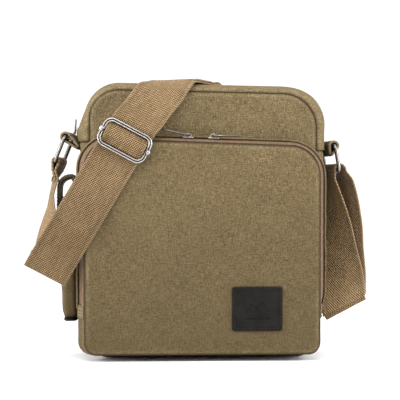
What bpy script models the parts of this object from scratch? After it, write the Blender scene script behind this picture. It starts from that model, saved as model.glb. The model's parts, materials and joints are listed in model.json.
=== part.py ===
"""Canvas messenger bag with a zip-round front pocket, a side pouch and a webbing shoulder strap.

Metres, +Z up.  The bag stands on its base at z = 0, its front looks along -Y and the origin is the
middle of the base.  Every physical piece is one named object; the strap's webbing is cut into
straight, folded and looped stretches so that each one is a simple solid.
"""
import math

import bmesh
import bpy
from mathutils import Matrix, Vector

MM = 0.001
GAP = 0.3 * MM                    # air between pieces that touch

# Bag shell
HALF_WIDTH = 109 * MM             # seam of the front and back panels
TOP_LEFT = 256.5 * MM             # the soft bag stands a little lower on its right
TOP_RIGHT = 253.5 * MM
HALF_DEPTH = 37 * MM
PANEL = 2.4 * MM
CANVAS = 1.6 * MM
TOP_RADIUS = 34 * MM
BASE_RADIUS = 18 * MM
SIDE_BELLY = 11 * MM              # how far the gusset stands out past the panel seams
TOP_BELLY = 8 * MM
GUSSET_HALF = HALF_DEPTH - PANEL - GAP

# Main zip, in the top gusset
ZIP_END_LEFT = 208 * MM
ZIP_END_RIGHT = 200 * MM
ZIP_SLOT = 1.0 * MM               # half of the line between the two tapes
TAPE_EDGE = 7.7 * MM              # half of the whole zip's width
COIL_HALF = 2.4 * MM
COIL_INSET = 2.2 * MM

# Front pocket
POCKET_LEFT = -113 * MM
POCKET_RIGHT = 109 * MM
POCKET_BASE = 5 * MM
POCKET_TOP_LEFT = 208 * MM
POCKET_TOP_RIGHT = 202 * MM
POCKET_TOP_RADIUS = 28 * MM
POCKET_BASE_RADIUS = 15 * MM
POCKET_FRONT = -65 * MM
POCKET_BELLY = 4 * MM
POCKET_ZIP_Y = -52 * MM
POCKET_ZIP_END = 49 * MM
PATCH_CENTRE = (49 * MM, 49.5 * MM)
PATCH_SIZE = (48 * MM, 42 * MM)
PATCH_THICK = 1.6 * MM

# Side pouch on the left gusset
POUCH_X = (-134.9 * MM, -120.5 * MM)
POUCH_HALF = 26 * MM
POUCH_Z = (38.5 * MM, 155 * MM)
POUCH_BASE_Z = 34.5 * MM

# Rings: a rectangle of wire that hangs in a canvas tab
WIRE = 1.9 * MM                   # radius
RING_LENGTH = 52 * MM
RING_DROP = 25 * MM               # between the two long bars' axes
LEFT_RING_PIVOT = Vector((-131.0, 0, 212.5)) * MM
LEFT_RING_TILT = math.radians(26)
RIGHT_RING_PIVOT = Vector((127.5, 0, 204.5)) * MM
RIGHT_RING_TILT = math.radians(10)
RIGHT_RING_YAW = math.radians(8)
TAB_HALF = 20 * MM
TAB_RADIUS = 5 * MM
LEFT_TAB_TONGUE = Vector((8.9, -7.5)) * MM
RIGHT_TAB_TONGUE = Vector((-3.2, -9)) * MM

# Webbing strap
WEB_WIDTH = 43 * MM
LOOP_WIDTH = 41.5 * MM            # where the webbing is pinched inside a ring
WEB = 1.6 * MM
LAYER = 1.9 * MM                  # from one layer's middle to the next one's
FOLD_STEPS = 6
BUCKLE_CENTRE = Vector((-75, -69, 207)) * MM
BUCKLE_SIZE = (50 * MM, 28.5 * MM)
BUCKLE_RADIUS = 7 * MM
BUCKLE_WIRE = 1.8 * MM
BUCKLE_BAR = 1.5 * MM

# Zip sliders and pulls
SLIDER_LENGTH = 11 * MM
SLIDER_WIDTH = 8 * MM
SLIDER_PLATE = 1.6 * MM
BRIDGE_HEIGHT = 3.3 * MM
BRIDGE_HALF = 2.6 * MM
PIN_HOLE = 1.1 * MM
PULL_WIRE = 0.75 * MM
PULL_WIDTH = 10.4 * MM

COLOURS = {
    "canvas": ((0.225, 0.165, 0.090), 0.92, 0.0),
    "lining": ((0.100, 0.080, 0.050), 0.90, 0.0),
    "webbing": ((0.330, 0.215, 0.115), 0.85, 0.0),
    "zip_tape": ((0.230, 0.130, 0.085), 0.85, 0.0),
    "zip_coil": ((0.120, 0.070, 0.045), 0.55, 0.0),
    "leather": ((0.022, 0.020, 0.019), 0.55, 0.0),
    "nickel": ((0.420, 0.400, 0.370), 0.25, 1.0),
}


def make_material(name):
    colour, roughness, metallic = COLOURS[name]
    material = bpy.data.materials.new(name)
    material.use_nodes = True
    shader = material.node_tree.nodes["Principled BSDF"]
    shader.inputs["Base Color"].default_value = (*colour, 1)
    shader.inputs["Roughness"].default_value = roughness
    shader.inputs["Metallic"].default_value = metallic
    return material


def start_scene():
    for old in list(bpy.data.objects):
        bpy.data.objects.remove(old, do_unlink=True)
    bag = bpy.data.collections.new("messenger_bag")
    bpy.context.scene.collection.children.link(bag)
    return bag, {name: make_material(name) for name in COLOURS}


BAG, MATERIALS = start_scene()


def add_node(name, data, material, smooth=False):
    """Link one named object that carries one material."""
    data.materials.append(MATERIALS[material])
    node = bpy.data.objects.new(name, data)
    BAG.objects.link(node)
    if smooth:
        for face in data.polygons:
            face.use_smooth = True
    return node


def solidify(node, thickness, side, even=True):
    """Give an open surface its thickness; side is -1 inwards and 0 both ways."""
    shell = node.modifiers.new("thickness", "SOLIDIFY")
    shell.thickness = thickness
    shell.offset = side
    shell.use_even_offset = even


def grid_mesh(name, rows):
    """A sheet through rows of points, all rows the same length."""
    mesh = bmesh.new()
    grid = [[mesh.verts.new(point) for point in row] for row in rows]
    for low, high in zip(grid, grid[1:]):
        for index in range(len(low) - 1):
            mesh.faces.new((low[index], low[index + 1], high[index + 1], high[index]))
    data = bpy.data.meshes.new(name)
    mesh.to_mesh(data)
    mesh.free()
    return data


# Outlines in the XZ plane ---------------------------------------------------------------------

def corner_arc(before, corner, after, radius, steps=6):
    """Points of the arc that rounds one corner."""
    to_before = (before - corner).normalized()
    to_after = (after - corner).normalized()
    half_angle = to_before.angle(to_after) / 2
    centre = corner + (to_before + to_after).normalized() * (radius / math.sin(half_angle))
    start = corner + to_before * (radius / math.tan(half_angle)) - centre
    end = corner + to_after * (radius / math.tan(half_angle)) - centre
    sweep = start.angle(end)
    arc = []
    for step in range(steps + 1):
        share = step / steps
        blend = (start * math.sin((1 - share) * sweep) + end * math.sin(share * sweep))
        arc.append(centre + blend / math.sin(sweep))
    return arc


def rounded(corners, closed, steps=6):
    """A path through corners given as (x, z, radius); an open path keeps its two end points."""
    points = [Vector((x, z)) for x, z, _ in corners]
    path = []
    last = len(corners) - 1
    for index, (_, _, radius) in enumerate(corners):
        if radius == 0 or (not closed and index in (0, last)):
            path.append(points[index])
            continue
        path += corner_arc(points[index - 1], points[index], points[(index + 1) % (last + 1)], radius, steps)
    return path


def resample(path, spacing):
    """Add points along an open path's long straight stretches."""
    dense = [path[0]]
    for start, end in zip(path, path[1:]):
        pieces = max(1, round((end - start).length / spacing))
        dense += [start.lerp(end, step / pieces) for step in range(1, pieces + 1)]
    return dense


def flat_shape(name, splines, y_middle, half_depth, material):
    """A flat outline in XZ, holes included, given a depth along Y."""
    curve = bpy.data.curves.new(name, "CURVE")
    curve.dimensions = "2D"
    curve.fill_mode = "BOTH"
    curve.extrude = half_depth
    for outline in splines:
        spline = curve.splines.new("POLY")
        spline.points.add(len(outline) - 1)
        for point, place in zip(spline.points, outline):
            point.co = (place[0], place[1], 0, 1)
        spline.use_cyclic_u = True
    node = add_node(name, curve, material)
    node.rotation_euler = (math.pi / 2, 0, 0)
    node.location = (0, y_middle, 0)
    return node


def circle(centre, radius, steps=16):
    turn = 2 * math.pi / steps
    return [(centre[0] + radius * math.cos(k * turn), centre[1] + radius * math.sin(k * turn))
            for k in range(steps)]


def gusset_strip(name, path, y_span, material, thickness=CANVAS, belly=(SIDE_BELLY, TOP_BELLY),
                 half=GUSSET_HALF, middle=0.0, inset=0.0, rows=3):
    """A strip of gusset along a clockwise path, crowned between the panels it joins."""
    outward = []
    for index in range(len(path)):
        along = (path[min(index + 1, len(path) - 1)] - path[max(index - 1, 0)]).normalized()
        outward.append(Vector((-along.y, along.x)))
    sheet = []
    for row in range(rows):
        y = y_span[0] + (y_span[1] - y_span[0]) * row / (rows - 1)
        crown = 1 - abs((y - middle) / half) ** 4
        line = []
        for point, normal in zip(path, outward):
            side = normal.x ** 2 * (1 + min(normal.y, 0))
            reach = crown * (belly[0] * side + belly[1] * max(normal.y, 0)) - inset
            line.append((point.x + normal.x * reach, y, point.y + normal.y * reach))
        sheet.append(line)
    node = add_node(name, grid_mesh(name, sheet), material)
    solidify(node, thickness, -1)
    return node


# Bag shell ------------------------------------------------------------------------------------

def shell_corners():
    return [(-HALF_WIDTH, 0, BASE_RADIUS), (-HALF_WIDTH, TOP_LEFT, TOP_RADIUS),
            (HALF_WIDTH, TOP_RIGHT, TOP_RADIUS), (HALF_WIDTH, 0, BASE_RADIUS)]


def build_panels():
    outline = rounded(shell_corners(), closed=True)
    for name, side in (("front_panel", -1), ("back_panel", 1)):
        flat_shape(name, [outline], side * (HALF_DEPTH - PANEL / 2), PANEL / 2, "canvas")


def build_gussets():
    span = (-GUSSET_HALF, GUSSET_HALF)
    flat = HALF_WIDTH - BASE_RADIUS - 5 * MM
    base = resample([Vector((flat, 0)), Vector((-flat, 0))], 60 * MM)
    gusset_strip("base_gusset", base, span, "canvas", PANEL, rows=2)
    left = rounded([(-flat - GAP, 0, 0), (-HALF_WIDTH, 0, BASE_RADIUS),
                    (-HALF_WIDTH, ZIP_END_LEFT - GAP, 0)], closed=False)
    right = rounded([(HALF_WIDTH, ZIP_END_RIGHT - GAP, 0), (HALF_WIDTH, 0, BASE_RADIUS),
                     (flat + GAP, 0, 0)], closed=False)
    for name, path in (("side_gusset_left", left), ("side_gusset_right", right)):
        gusset_strip(name, resample(path, 50 * MM), span, "canvas", rows=9)


def zip_path():
    return rounded([(-HALF_WIDTH, ZIP_END_LEFT, 0), (-HALF_WIDTH, TOP_LEFT, TOP_RADIUS),
                    (HALF_WIDTH, TOP_RIGHT, TOP_RADIUS), (HALF_WIDTH, ZIP_END_RIGHT, 0)], closed=False)


def build_top():
    path = resample(zip_path(), 50 * MM)
    inner = TAPE_EDGE + GAP
    gusset_strip("top_gusset_front", path, (-GUSSET_HALF, -inner), "canvas", rows=5)
    gusset_strip("top_gusset_rear", path, (inner, GUSSET_HALF), "canvas", rows=5)
    gusset_strip("main_zip_tape_front", path, (-TAPE_EDGE, -ZIP_SLOT), "zip_tape", 1.0 * MM, rows=2)
    gusset_strip("main_zip_tape_rear", path, (ZIP_SLOT, TAPE_EDGE), "zip_tape", 1.0 * MM, rows=2)
    gusset_strip("main_zip_coil", path, (-COIL_HALF, COIL_HALF), "zip_coil", 1.2 * MM,
                 inset=COIL_INSET, rows=2)


def open_box(name, low, high, thickness, material, bevel):
    """A box with no top, rounded along its edges and thickened inwards."""
    mesh = bmesh.new()
    size = high - low
    bmesh.ops.create_cube(mesh, size=1, matrix=Matrix.Diagonal((*size, 1)))
    top = [face for face in mesh.faces if face.normal.z > 0.9]
    bmesh.ops.delete(mesh, geom=top, context="FACES_ONLY")
    data = bpy.data.meshes.new(name)
    mesh.to_mesh(data)
    mesh.free()
    node = add_node(name, data, material)
    node.location = (low + high) / 2
    rounding = node.modifiers.new("rounding", "BEVEL")
    rounding.width = bevel
    rounding.segments = 3
    solidify(node, thickness, -1)
    return node


def build_lining():
    low = Vector((-101, -31, 4)) * MM
    high = Vector((101, 31, 236)) * MM
    open_box("main_lining", low, high, 0.8 * MM, "lining", 14 * MM)


# Front pocket ---------------------------------------------------------------------------------

def pocket_strip(name, path, y_span, material, thickness=CANVAS, inset=0.0, rows=3):
    back = -HALF_DEPTH - GAP
    front = POCKET_FRONT + PANEL + GAP
    gusset_strip(name, path, y_span, material, thickness, (POCKET_BELLY, POCKET_BELLY),
                 (back - front) / 2, (back + front) / 2, inset, rows)


def build_pocket():
    back = -HALF_DEPTH - GAP
    front = POCKET_FRONT + PANEL + GAP
    corners = [(POCKET_LEFT, POCKET_BASE, POCKET_BASE_RADIUS),
               (POCKET_LEFT, POCKET_TOP_LEFT, POCKET_TOP_RADIUS),
               (POCKET_RIGHT, POCKET_TOP_RIGHT, POCKET_TOP_RADIUS),
               (POCKET_RIGHT, POCKET_BASE, POCKET_BASE_RADIUS)]
    flat_shape("pocket_face_panel", [rounded(corners, closed=True)], POCKET_FRONT + PANEL / 2,
               PANEL / 2, "canvas")
    arch = resample(rounded([(POCKET_LEFT, POCKET_ZIP_END, 0), corners[1], corners[2],
                             (POCKET_RIGHT, POCKET_ZIP_END, 0)], closed=False), 50 * MM)
    under = resample(rounded([(POCKET_RIGHT, POCKET_ZIP_END - GAP, 0), corners[3], corners[0],
                              (POCKET_LEFT, POCKET_ZIP_END - GAP, 0)], closed=False), 60 * MM)
    pocket_strip("pocket_gusset_base", under, (front, back), "canvas", rows=5)
    pocket_strip("pocket_gusset_top", arch, (POCKET_ZIP_Y + TAPE_EDGE + GAP, back), "canvas")
    pocket_strip("pocket_zip_tape_front", arch, (front, POCKET_ZIP_Y - ZIP_SLOT), "zip_tape", 1.0 * MM)
    pocket_strip("pocket_zip_tape_rear", arch, (POCKET_ZIP_Y + ZIP_SLOT, POCKET_ZIP_Y + TAPE_EDGE),
                 "zip_tape", 1.0 * MM)
    pocket_strip("pocket_zip_coil", arch, (POCKET_ZIP_Y - COIL_HALF, POCKET_ZIP_Y + COIL_HALF),
                 "zip_coil", 1.2 * MM, COIL_INSET, rows=2)


def rounded_block(name, low, high, bevel, material):
    """A solid box with rounded edges, its origin in its middle."""
    mesh = bmesh.new()
    bmesh.ops.create_cube(mesh, size=1, matrix=Matrix.Diagonal((*(high - low), 1)))
    data = bpy.data.meshes.new(name)
    mesh.to_mesh(data)
    mesh.free()
    node = add_node(name, data, material)
    node.location = (low + high) / 2
    rounding = node.modifiers.new("rounding", "BEVEL")
    rounding.width = bevel
    rounding.segments = 2
    return node


def build_pocket_trim():
    x, z = PATCH_CENTRE
    half_x, half_z = PATCH_SIZE[0] / 2, PATCH_SIZE[1] / 2
    radius = 3 * MM
    patch = rounded([(x - half_x, z - half_z, radius), (x - half_x, z + half_z, radius),
                     (x + half_x, z + half_z, radius), (x + half_x, z - half_z, radius)], True, 4)
    flat_shape("leather_patch", [patch], POCKET_FRONT - GAP - PATCH_THICK / 2, PATCH_THICK / 2, "leather")
    for name, side, edge in (("zip_end_tab_left", -1, POCKET_LEFT), ("zip_end_tab_right", 1, POCKET_RIGHT)):
        inner = edge + side * (POCKET_BELLY + GAP)
        outer = inner + side * 1.8 * MM
        low = Vector((min(inner, outer), POCKET_ZIP_Y - 6 * MM, POCKET_ZIP_END - 9 * MM))
        high = Vector((max(inner, outer), POCKET_ZIP_Y + 6 * MM, POCKET_ZIP_END + 3 * MM))
        rounded_block(name, low, high, 0.6 * MM, "canvas")


# Side pouch -----------------------------------------------------------------------------------

def build_side_pouch():
    low = Vector((POUCH_X[0], -POUCH_HALF, POUCH_Z[0]))
    high = Vector((POUCH_X[1], POUCH_HALF, POUCH_Z[1]))
    open_box("side_pocket", low, high, 1.5 * MM, "canvas", 4 * MM)
    base_low = Vector((POUCH_X[0] + 0.5 * MM, -POUCH_HALF + MM, POUCH_BASE_Z))
    base_high = Vector((POUCH_X[1] - 0.5 * MM, POUCH_HALF - MM, POUCH_Z[0] - GAP))
    rounded_block("side_pocket_base", base_low, base_high, 1.2 * MM, "leather")
    hinge = (-120.9 * MM, 168 * MM, 0)
    shoulder = (-125.5 * MM, 177 * MM, 4 * MM)
    bend = (-141 * MM, 175 * MM, 9 * MM)
    edge = (-141.6 * MM, 142 * MM, 0)
    path = rounded([edge, bend, shoulder, hinge], closed=False)
    gusset_strip("side_pocket_flap", path, (-POUCH_HALF + 2 * MM, POUCH_HALF - 2 * MM), "leather",
                 2.2 * MM, belly=(0, 0), rows=2)


# Rings and their tabs -------------------------------------------------------------------------

def wire_loop(name, outline, radius, material, place):
    """A closed wire along an outline in its own XY plane."""
    curve = bpy.data.curves.new(name, "CURVE")
    curve.dimensions = "3D"
    curve.bevel_depth = radius
    curve.bevel_resolution = 2
    spline = curve.splines.new("POLY")
    spline.points.add(len(outline) - 1)
    for point, where in zip(spline.points, outline):
        point.co = (where[0], where[1], 0, 1)
    spline.use_cyclic_u = True
    spline.use_smooth = True
    node = add_node(name, curve, material)
    node.matrix_world = place
    return node


def ring_place(pivot, tilt, yaw):
    """The ring's own frame: X along its long bars, Y from the top bar to the lower one."""
    along = Matrix.Rotation(yaw, 3, "Z") @ Vector((0, 1, 0))
    outward = Matrix.Rotation(yaw, 3, "Z") @ Vector((1, 0, 0))
    down = outward * math.sin(tilt) - Vector((0, 0, math.cos(tilt)))
    matrix = Matrix((along, down, along.cross(down))).transposed().to_4x4()
    matrix.translation = pivot
    return matrix


def build_ring(name, place):
    half = RING_LENGTH / 2 - WIRE
    radius = 4 * MM
    outline = rounded([(-half, 0, radius), (half, 0, radius),
                       (half, RING_DROP, radius), (-half, RING_DROP, radius)], True, 4)
    wire_loop(name, outline, WIRE, "nickel", place)


def build_tab(name, pivot, tongue_end, yaw):
    """A canvas tab folded round the ring's top bar and sewn into the gusset's seam."""
    hole = circle((0, 0), WIRE + 0.4 * MM, 16)
    away = math.atan2(tongue_end.y, tongue_end.x)
    spread = math.radians(62)
    arc = [(TAB_RADIUS * math.cos(away + angle), TAB_RADIUS * math.sin(away + angle))
           for angle in (spread + (2 * math.pi - 2 * spread) * step / 18 for step in range(19))]
    across = Vector((-math.sin(away), math.cos(away))) * 1.9 * MM
    tongue = [tuple(tongue_end - across), tuple(tongue_end + across)]
    node = flat_shape(name, [arc + tongue, hole], 0, TAB_HALF, "canvas")
    node.rotation_euler = (math.pi / 2, 0, yaw)
    node.location = pivot


def build_rings():
    left = ring_place(LEFT_RING_PIVOT, -LEFT_RING_TILT, 0)
    right = ring_place(RIGHT_RING_PIVOT, RIGHT_RING_TILT, RIGHT_RING_YAW)
    build_ring("ring_left", left)
    build_ring("ring_right", right)
    build_tab("ring_tab_left", LEFT_RING_PIVOT, LEFT_TAB_TONGUE, 0)
    build_tab("ring_tab_right", RIGHT_RING_PIVOT, RIGHT_TAB_TONGUE, RIGHT_RING_YAW)
    return left @ Vector((0, RING_DROP, 0)), right @ Vector((0, RING_DROP, 0))


# Webbing --------------------------------------------------------------------------------------

def spline_point(before, start, end, after, share):
    """A smooth curve from start to end, its slopes shared with its neighbours."""
    chord = end - start
    leave = (chord.normalized() + (start - before).normalized()).normalized() * chord.length
    arrive = (chord.normalized() + (after - end).normalized()).normalized() * chord.length
    square, cube = share ** 2, share ** 3
    return (start * (2 * cube - 3 * square + 1) + leave * (cube - 2 * square + share)
            + end * (3 * square - 2 * cube) + arrive * (cube - square))


def smooth_stations(stations, steps):
    """Fill in a ribbon's stations: a list of (middle, across)."""
    filled = []
    last = len(stations) - 1
    for index in range(last):
        window = [stations[max(index - 1, 0)], stations[index], stations[index + 1],
                  stations[min(index + 2, last)]]
        for step in range(steps):
            share = step / steps
            middle = spline_point(*[station[0] for station in window], share)
            across = stations[index][1].lerp(stations[index + 1][1], share).normalized()
            filled.append((middle, across))
    filled.append(stations[-1])
    return filled


def ribbon_rows(stations, offset=0.0, steps=4, width=WEB_WIDTH):
    """The near and far edge at every station of a filled-in route."""
    stations = smooth_stations(stations, steps)
    rows = []
    last = len(stations) - 1
    for index, (middle, across) in enumerate(stations):
        along = (stations[min(index + 1, last)][0] - stations[max(index - 1, 0)][0]).normalized()
        lift = across.cross(along).normalized()
        middle = middle + lift * offset
        reach = across * (width / 2 / max(across.cross(along).length, 0.5))
        rows.append([middle - reach, middle + reach])
    return rows


def webbing(name, rows):
    """One stretch of strap through its rows, shortened by half a gap at each end."""
    rows = [list(row) for row in rows]
    for end, inner in ((0, 1), (-1, -2)):
        rows[end] = [edge + (other - edge).normalized() * GAP / 2
                     for edge, other in zip(rows[end], rows[inner])]
    node = add_node(name, grid_mesh(name, rows), "webbing")
    solidify(node, WEB, 0, even=False)


def ribbon(name, stations, steps=4, width=WEB_WIDTH):
    webbing(name, ribbon_rows(stations, 0, steps, width))


def station(x, y, z, across):
    return Vector((x, y, z)) * MM, Vector(across).normalized()


def turned(x, y, z, degrees, rise=0.0):
    """A station whose width points near-to-far at an angle in plan."""
    angle = math.radians(degrees)
    return station(x, y, z, (math.cos(angle), math.sin(angle), rise))


FRONT_ACROSS = (0.883, 0, -0.469)
TOP_ACROSS = (0.883, -0.469, 0)
BACK_ACROSS = (0.86, 0, 0.51)
LEFT_FOLD = Vector((-148.8, -59.6, 83.8)) * MM
RIGHT_FOLD = Vector((146.6, 40.8, 45.5)) * MM


def fold_stations(centre, radius, across, start_side, steps=FOLD_STEPS):
    """Half a turn round a fold line; start_side is the Y side that the turn starts on."""
    across = Vector(across).normalized()
    down = Vector((across.z, 0, -across.x))
    if down.z > 0:
        down.negate()
    turn = []
    for step in range(steps + 1):
        angle = math.pi * step / steps
        place = Vector((0, start_side, 0)) * math.cos(angle) + down * math.sin(angle)
        turn.append((centre + place * radius, across))
    return turn


def build_front_strap():
    """From the left fold up the front, through the buckle and over the top to the right fold."""
    route = [(LEFT_FOLD - Vector((0, 2.4 * MM, 0)), Vector(FRONT_ACROSS).normalized()),
             station(-128, -66.7, 118.5, FRONT_ACROSS), station(-106, -68.4, 155.4, FRONT_ACROSS),
             (BUCKLE_CENTRE, Vector(FRONT_ACROSS).normalized()), station(-68.3, -69.1, 218.1, FRONT_ACROSS),
             station(-66.2, -69.2, 221.5, FRONT_ACROSS), station(-59, -62, 231.5, FRONT_ACROSS),
             station(-46, -46.5, 252, FRONT_ACROSS),
             station(-40.5, -36.5, 261, (0.883, -0.33, -0.33)), station(-33, -20, 267.2, TOP_ACROSS),
             station(-22, 0, 267.8, TOP_ACROSS), station(-11, 20, 267.2, TOP_ACROSS),
             station(-2, 36.5, 261, (0.87, -0.36, 0.36)), station(4, 43.8, 252, BACK_ACROSS),
             station(19, 45.3, 229, BACK_ACROSS), station(83, 45.3, 137, BACK_ACROSS),
             station(134, 45.2, 63, (0.89, 0, 0.455)),
             (RIGHT_FOLD + Vector((0, 4.4 * MM, 0)), Vector((0.897, 0, 0.442)))]
    steps = 4
    above_buckle, front_edge, rear_edge, last = (steps * index for index in (5, 8, 12, len(route) - 1))
    outer = ribbon_rows(route, 0, steps)
    inner = ribbon_rows(route, -LAYER, steps)
    webbing("strap_front_run", outer[:above_buckle + 1])
    webbing("strap_front_upper", outer[above_buckle:front_edge + 1])
    webbing("strap_top", outer[front_edge:rear_edge + 1])
    webbing("strap_back_run", outer[rear_edge:])
    webbing("strap_inner_front", inner[above_buckle + steps:front_edge + 1])
    webbing("strap_inner_top", inner[front_edge:rear_edge + 1])
    webbing("strap_inner_back", inner[rear_edge:last - steps + 1])


def build_right_legs(bar):
    """The two layers between the right fold and the right ring, and the wrap over the ring."""
    fold_across = (-0.897, 0, -0.442)
    front_turn = fold_stations(RIGHT_FOLD, 4.4 * MM, fold_across, 1)
    rear_turn = fold_stations(RIGHT_FOLD, 2.4 * MM, fold_across, 1)
    front_leg = [turned(143.5, 31, 68, 168, -0.25), turned(137.5, 20, 104, 146, -0.1),
                 turned(132.5, 9, 137, 124), turned(127.2, 1, 164, 106), turned(126.3, 0, 172.5, 98)]
    rear_leg = [turned(147.2, 34, 68, 168, -0.25), turned(146.5, 25, 104, 148, -0.1),
                turned(144.5, 12, 137, 128), turned(138.5, 2, 164, 108), turned(136.3, 0, 172.5, 98)]
    ribbon("strap_right_leg_front", front_turn + front_leg, steps=2)
    start = station(134, 43.3, 63, (-0.89, 0, -0.455))
    ribbon("strap_right_leg_rear", [start] + rear_turn + rear_leg, steps=2)
    radius = WIRE + GAP + WEB / 2 + 0.2 * MM
    along = ring_place(RIGHT_RING_PIVOT, RIGHT_RING_TILT, RIGHT_RING_YAW).to_3x3().col[0]
    side = Vector((along.y, -along.x, 0))
    wrap = [(bar - side * radius - Vector((side.x * MM, 0, 5 * MM)), along)]
    for step in range(9):
        angle = math.pi * (1 - step / 8)
        wrap.append((bar + side * radius * math.cos(angle) + Vector((0, 0, radius * math.sin(angle))), along))
    wrap.append((bar + side * radius + Vector((side.x * 2 * MM, 0, -5 * MM)), along))
    ribbon("strap_ring_wrap", wrap, steps=1, width=LOOP_WIDTH)


def build_left_leg(bar):
    """The strap's sewn end round the left ring, its rivet, and the leg down to the left fold."""
    along = Vector((0, 1, 0))
    radius = WIRE + GAP + WEB / 2 + 0.2 * MM
    lean = Vector((-math.sin(LEFT_RING_TILT), 0, -math.cos(LEFT_RING_TILT)))
    side = Vector((lean.z, 0, -lean.x))
    tail_drop = 20 * MM
    pinch = LAYER / 2
    end_loop = [(bar + lean * tail_drop - side * pinch, along), (bar + lean * 9 * MM - side * pinch, along)]
    for step in range(9):
        angle = math.pi * (1 - step / 8)
        end_loop.append((bar + side * radius * math.cos(angle) - lean * radius * math.sin(angle), along))
    end_loop += [(bar + lean * 9 * MM + side * pinch, along), (bar + lean * tail_drop + side * pinch, along)]
    ribbon("strap_end_loop", end_loop, steps=1, width=LOOP_WIDTH)

    mesh = bmesh.new()
    bmesh.ops.create_cone(mesh, cap_ends=True, segments=20, radius1=4 * MM, radius2=3 * MM, depth=1.6 * MM)
    data = bpy.data.meshes.new("strap_rivet")
    mesh.to_mesh(data)
    mesh.free()
    rivet = add_node("strap_rivet", data, "nickel")
    outer = side if side.x < 0 else -side
    rivet.location = bar + lean * 14 * MM + outer * (pinch + WEB / 2 + GAP + 0.8 * MM)
    rivet.rotation_euler = outer.to_track_quat("Z", "Y").to_euler()

    tail = bar + lean * (tail_drop + 0.8 * MM)
    fold_across = (-FRONT_ACROSS[0], 0, -FRONT_ACROSS[2])
    turn = fold_stations(LEFT_FOLD, 2.4 * MM, fold_across, 1)
    leg = [(tail, along), turned(-148.6, -5, 151, 101), turned(-149.5, -20, 128, 130, 0.1),
           turned(-149.5, -40, 106, 158, 0.3), station(-148.2, -53, 93, fold_across)]
    ribbon("strap_left_leg", leg + turn, steps=3)


# Buckle ---------------------------------------------------------------------------------------

def build_buckle():
    """A three-bar slide: a wire frame, its centre bar and the webbing that humps over the bar."""
    across = Vector(FRONT_ACROSS).normalized()
    run = (BUCKLE_CENTRE - Vector((-106, -68.4, 155.4)) * MM).normalized()
    front = across.cross(run).normalized()
    upward = front.cross(across).normalized()
    place = Matrix((across, upward, front)).transposed().to_4x4()
    lift = WEB / 2 + GAP + BUCKLE_WIRE
    place.translation = BUCKLE_CENTRE + front * lift
    half_x, half_y = BUCKLE_SIZE[0] / 2 - BUCKLE_WIRE, BUCKLE_SIZE[1] / 2 - BUCKLE_WIRE
    outline = rounded([(-half_x, -half_y, BUCKLE_RADIUS), (half_x, -half_y, BUCKLE_RADIUS),
                       (half_x, half_y, BUCKLE_RADIUS), (-half_x, half_y, BUCKLE_RADIUS)], True)
    wire_loop("buckle_frame", outline, BUCKLE_WIRE, "nickel", place)

    bar_length = 2 * (half_x - BUCKLE_WIRE - GAP)
    mesh = bmesh.new()
    bmesh.ops.create_cone(mesh, cap_ends=True, segments=12, radius1=BUCKLE_BAR, radius2=BUCKLE_BAR,
                          depth=bar_length)
    data = bpy.data.meshes.new("buckle_bar")
    mesh.to_mesh(data)
    mesh.free()
    bar = add_node("buckle_bar", data, "nickel", smooth=True)
    bar.matrix_world = place @ Matrix.Rotation(math.pi / 2, 4, "Y")

    crest = BUCKLE_BAR + GAP + WEB / 2
    foot = -BUCKLE_WIRE + WEB / 2 + GAP
    hump = []
    for reach, height in ((-8, foot), (-5.5, foot + 0.6 * MM), (-2.5, crest - 0.3 * MM), (0, crest),
                          (2.5, crest - 0.3 * MM), (5.5, foot + 0.6 * MM), (8, foot)):
        hump.append((place @ Vector((0, reach * MM, height)), across))
    ribbon("buckle_webbing", hump, steps=2, width=bar_length - 2 * MM)


# Zip sliders and pulls ------------------------------------------------------------------------

def build_slider(name, foot, along, outward):
    """A slider plate with a bridge for its pull; returns the pull's hinge point.

    foot is the middle of the plate's underside, along the way the slider runs."""
    half = SLIDER_LENGTH / 2
    top = SLIDER_PLATE + BRIDGE_HEIGHT
    outline = rounded([(-half, 0, 0), (-half, SLIDER_PLATE, 0.7 * MM), (-BRIDGE_HALF, SLIDER_PLATE, 0),
                       (-BRIDGE_HALF, top, 1.6 * MM), (BRIDGE_HALF, top, 1.6 * MM),
                       (BRIDGE_HALF, SLIDER_PLATE, 0), (half, SLIDER_PLATE, 0.7 * MM), (half, 0, 0)],
                      True, 3)
    hinge = Vector((0, SLIDER_PLATE + BRIDGE_HEIGHT / 2))
    node = flat_shape(name, [outline, circle(hinge, PIN_HOLE, 10)], 0, SLIDER_WIDTH / 2, "nickel")
    frame = Matrix((along, outward, along.cross(outward))).transposed().to_4x4()
    frame.translation = foot
    node.matrix_world = frame
    return foot + outward * hinge.y


def build_pull(name, hinge, along, across, length):
    """A wire pull that swings about the pin through its slider's bridge."""
    half = PULL_WIDTH / 2
    side = [(0, half, 1.2 * MM), (4 * MM, half, 1 * MM), (8 * MM, 1.9 * MM, 2 * MM), (length, 1.6 * MM, 1.2 * MM)]
    mirrored = [(x, -y, radius) for x, y, radius in reversed(side)]
    outline = rounded(side + mirrored, True, 3)
    place = Matrix((along, across, along.cross(across))).transposed().to_4x4()
    place.translation = hinge
    wire_loop(name, outline, PULL_WIRE, "nickel", place)


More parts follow.
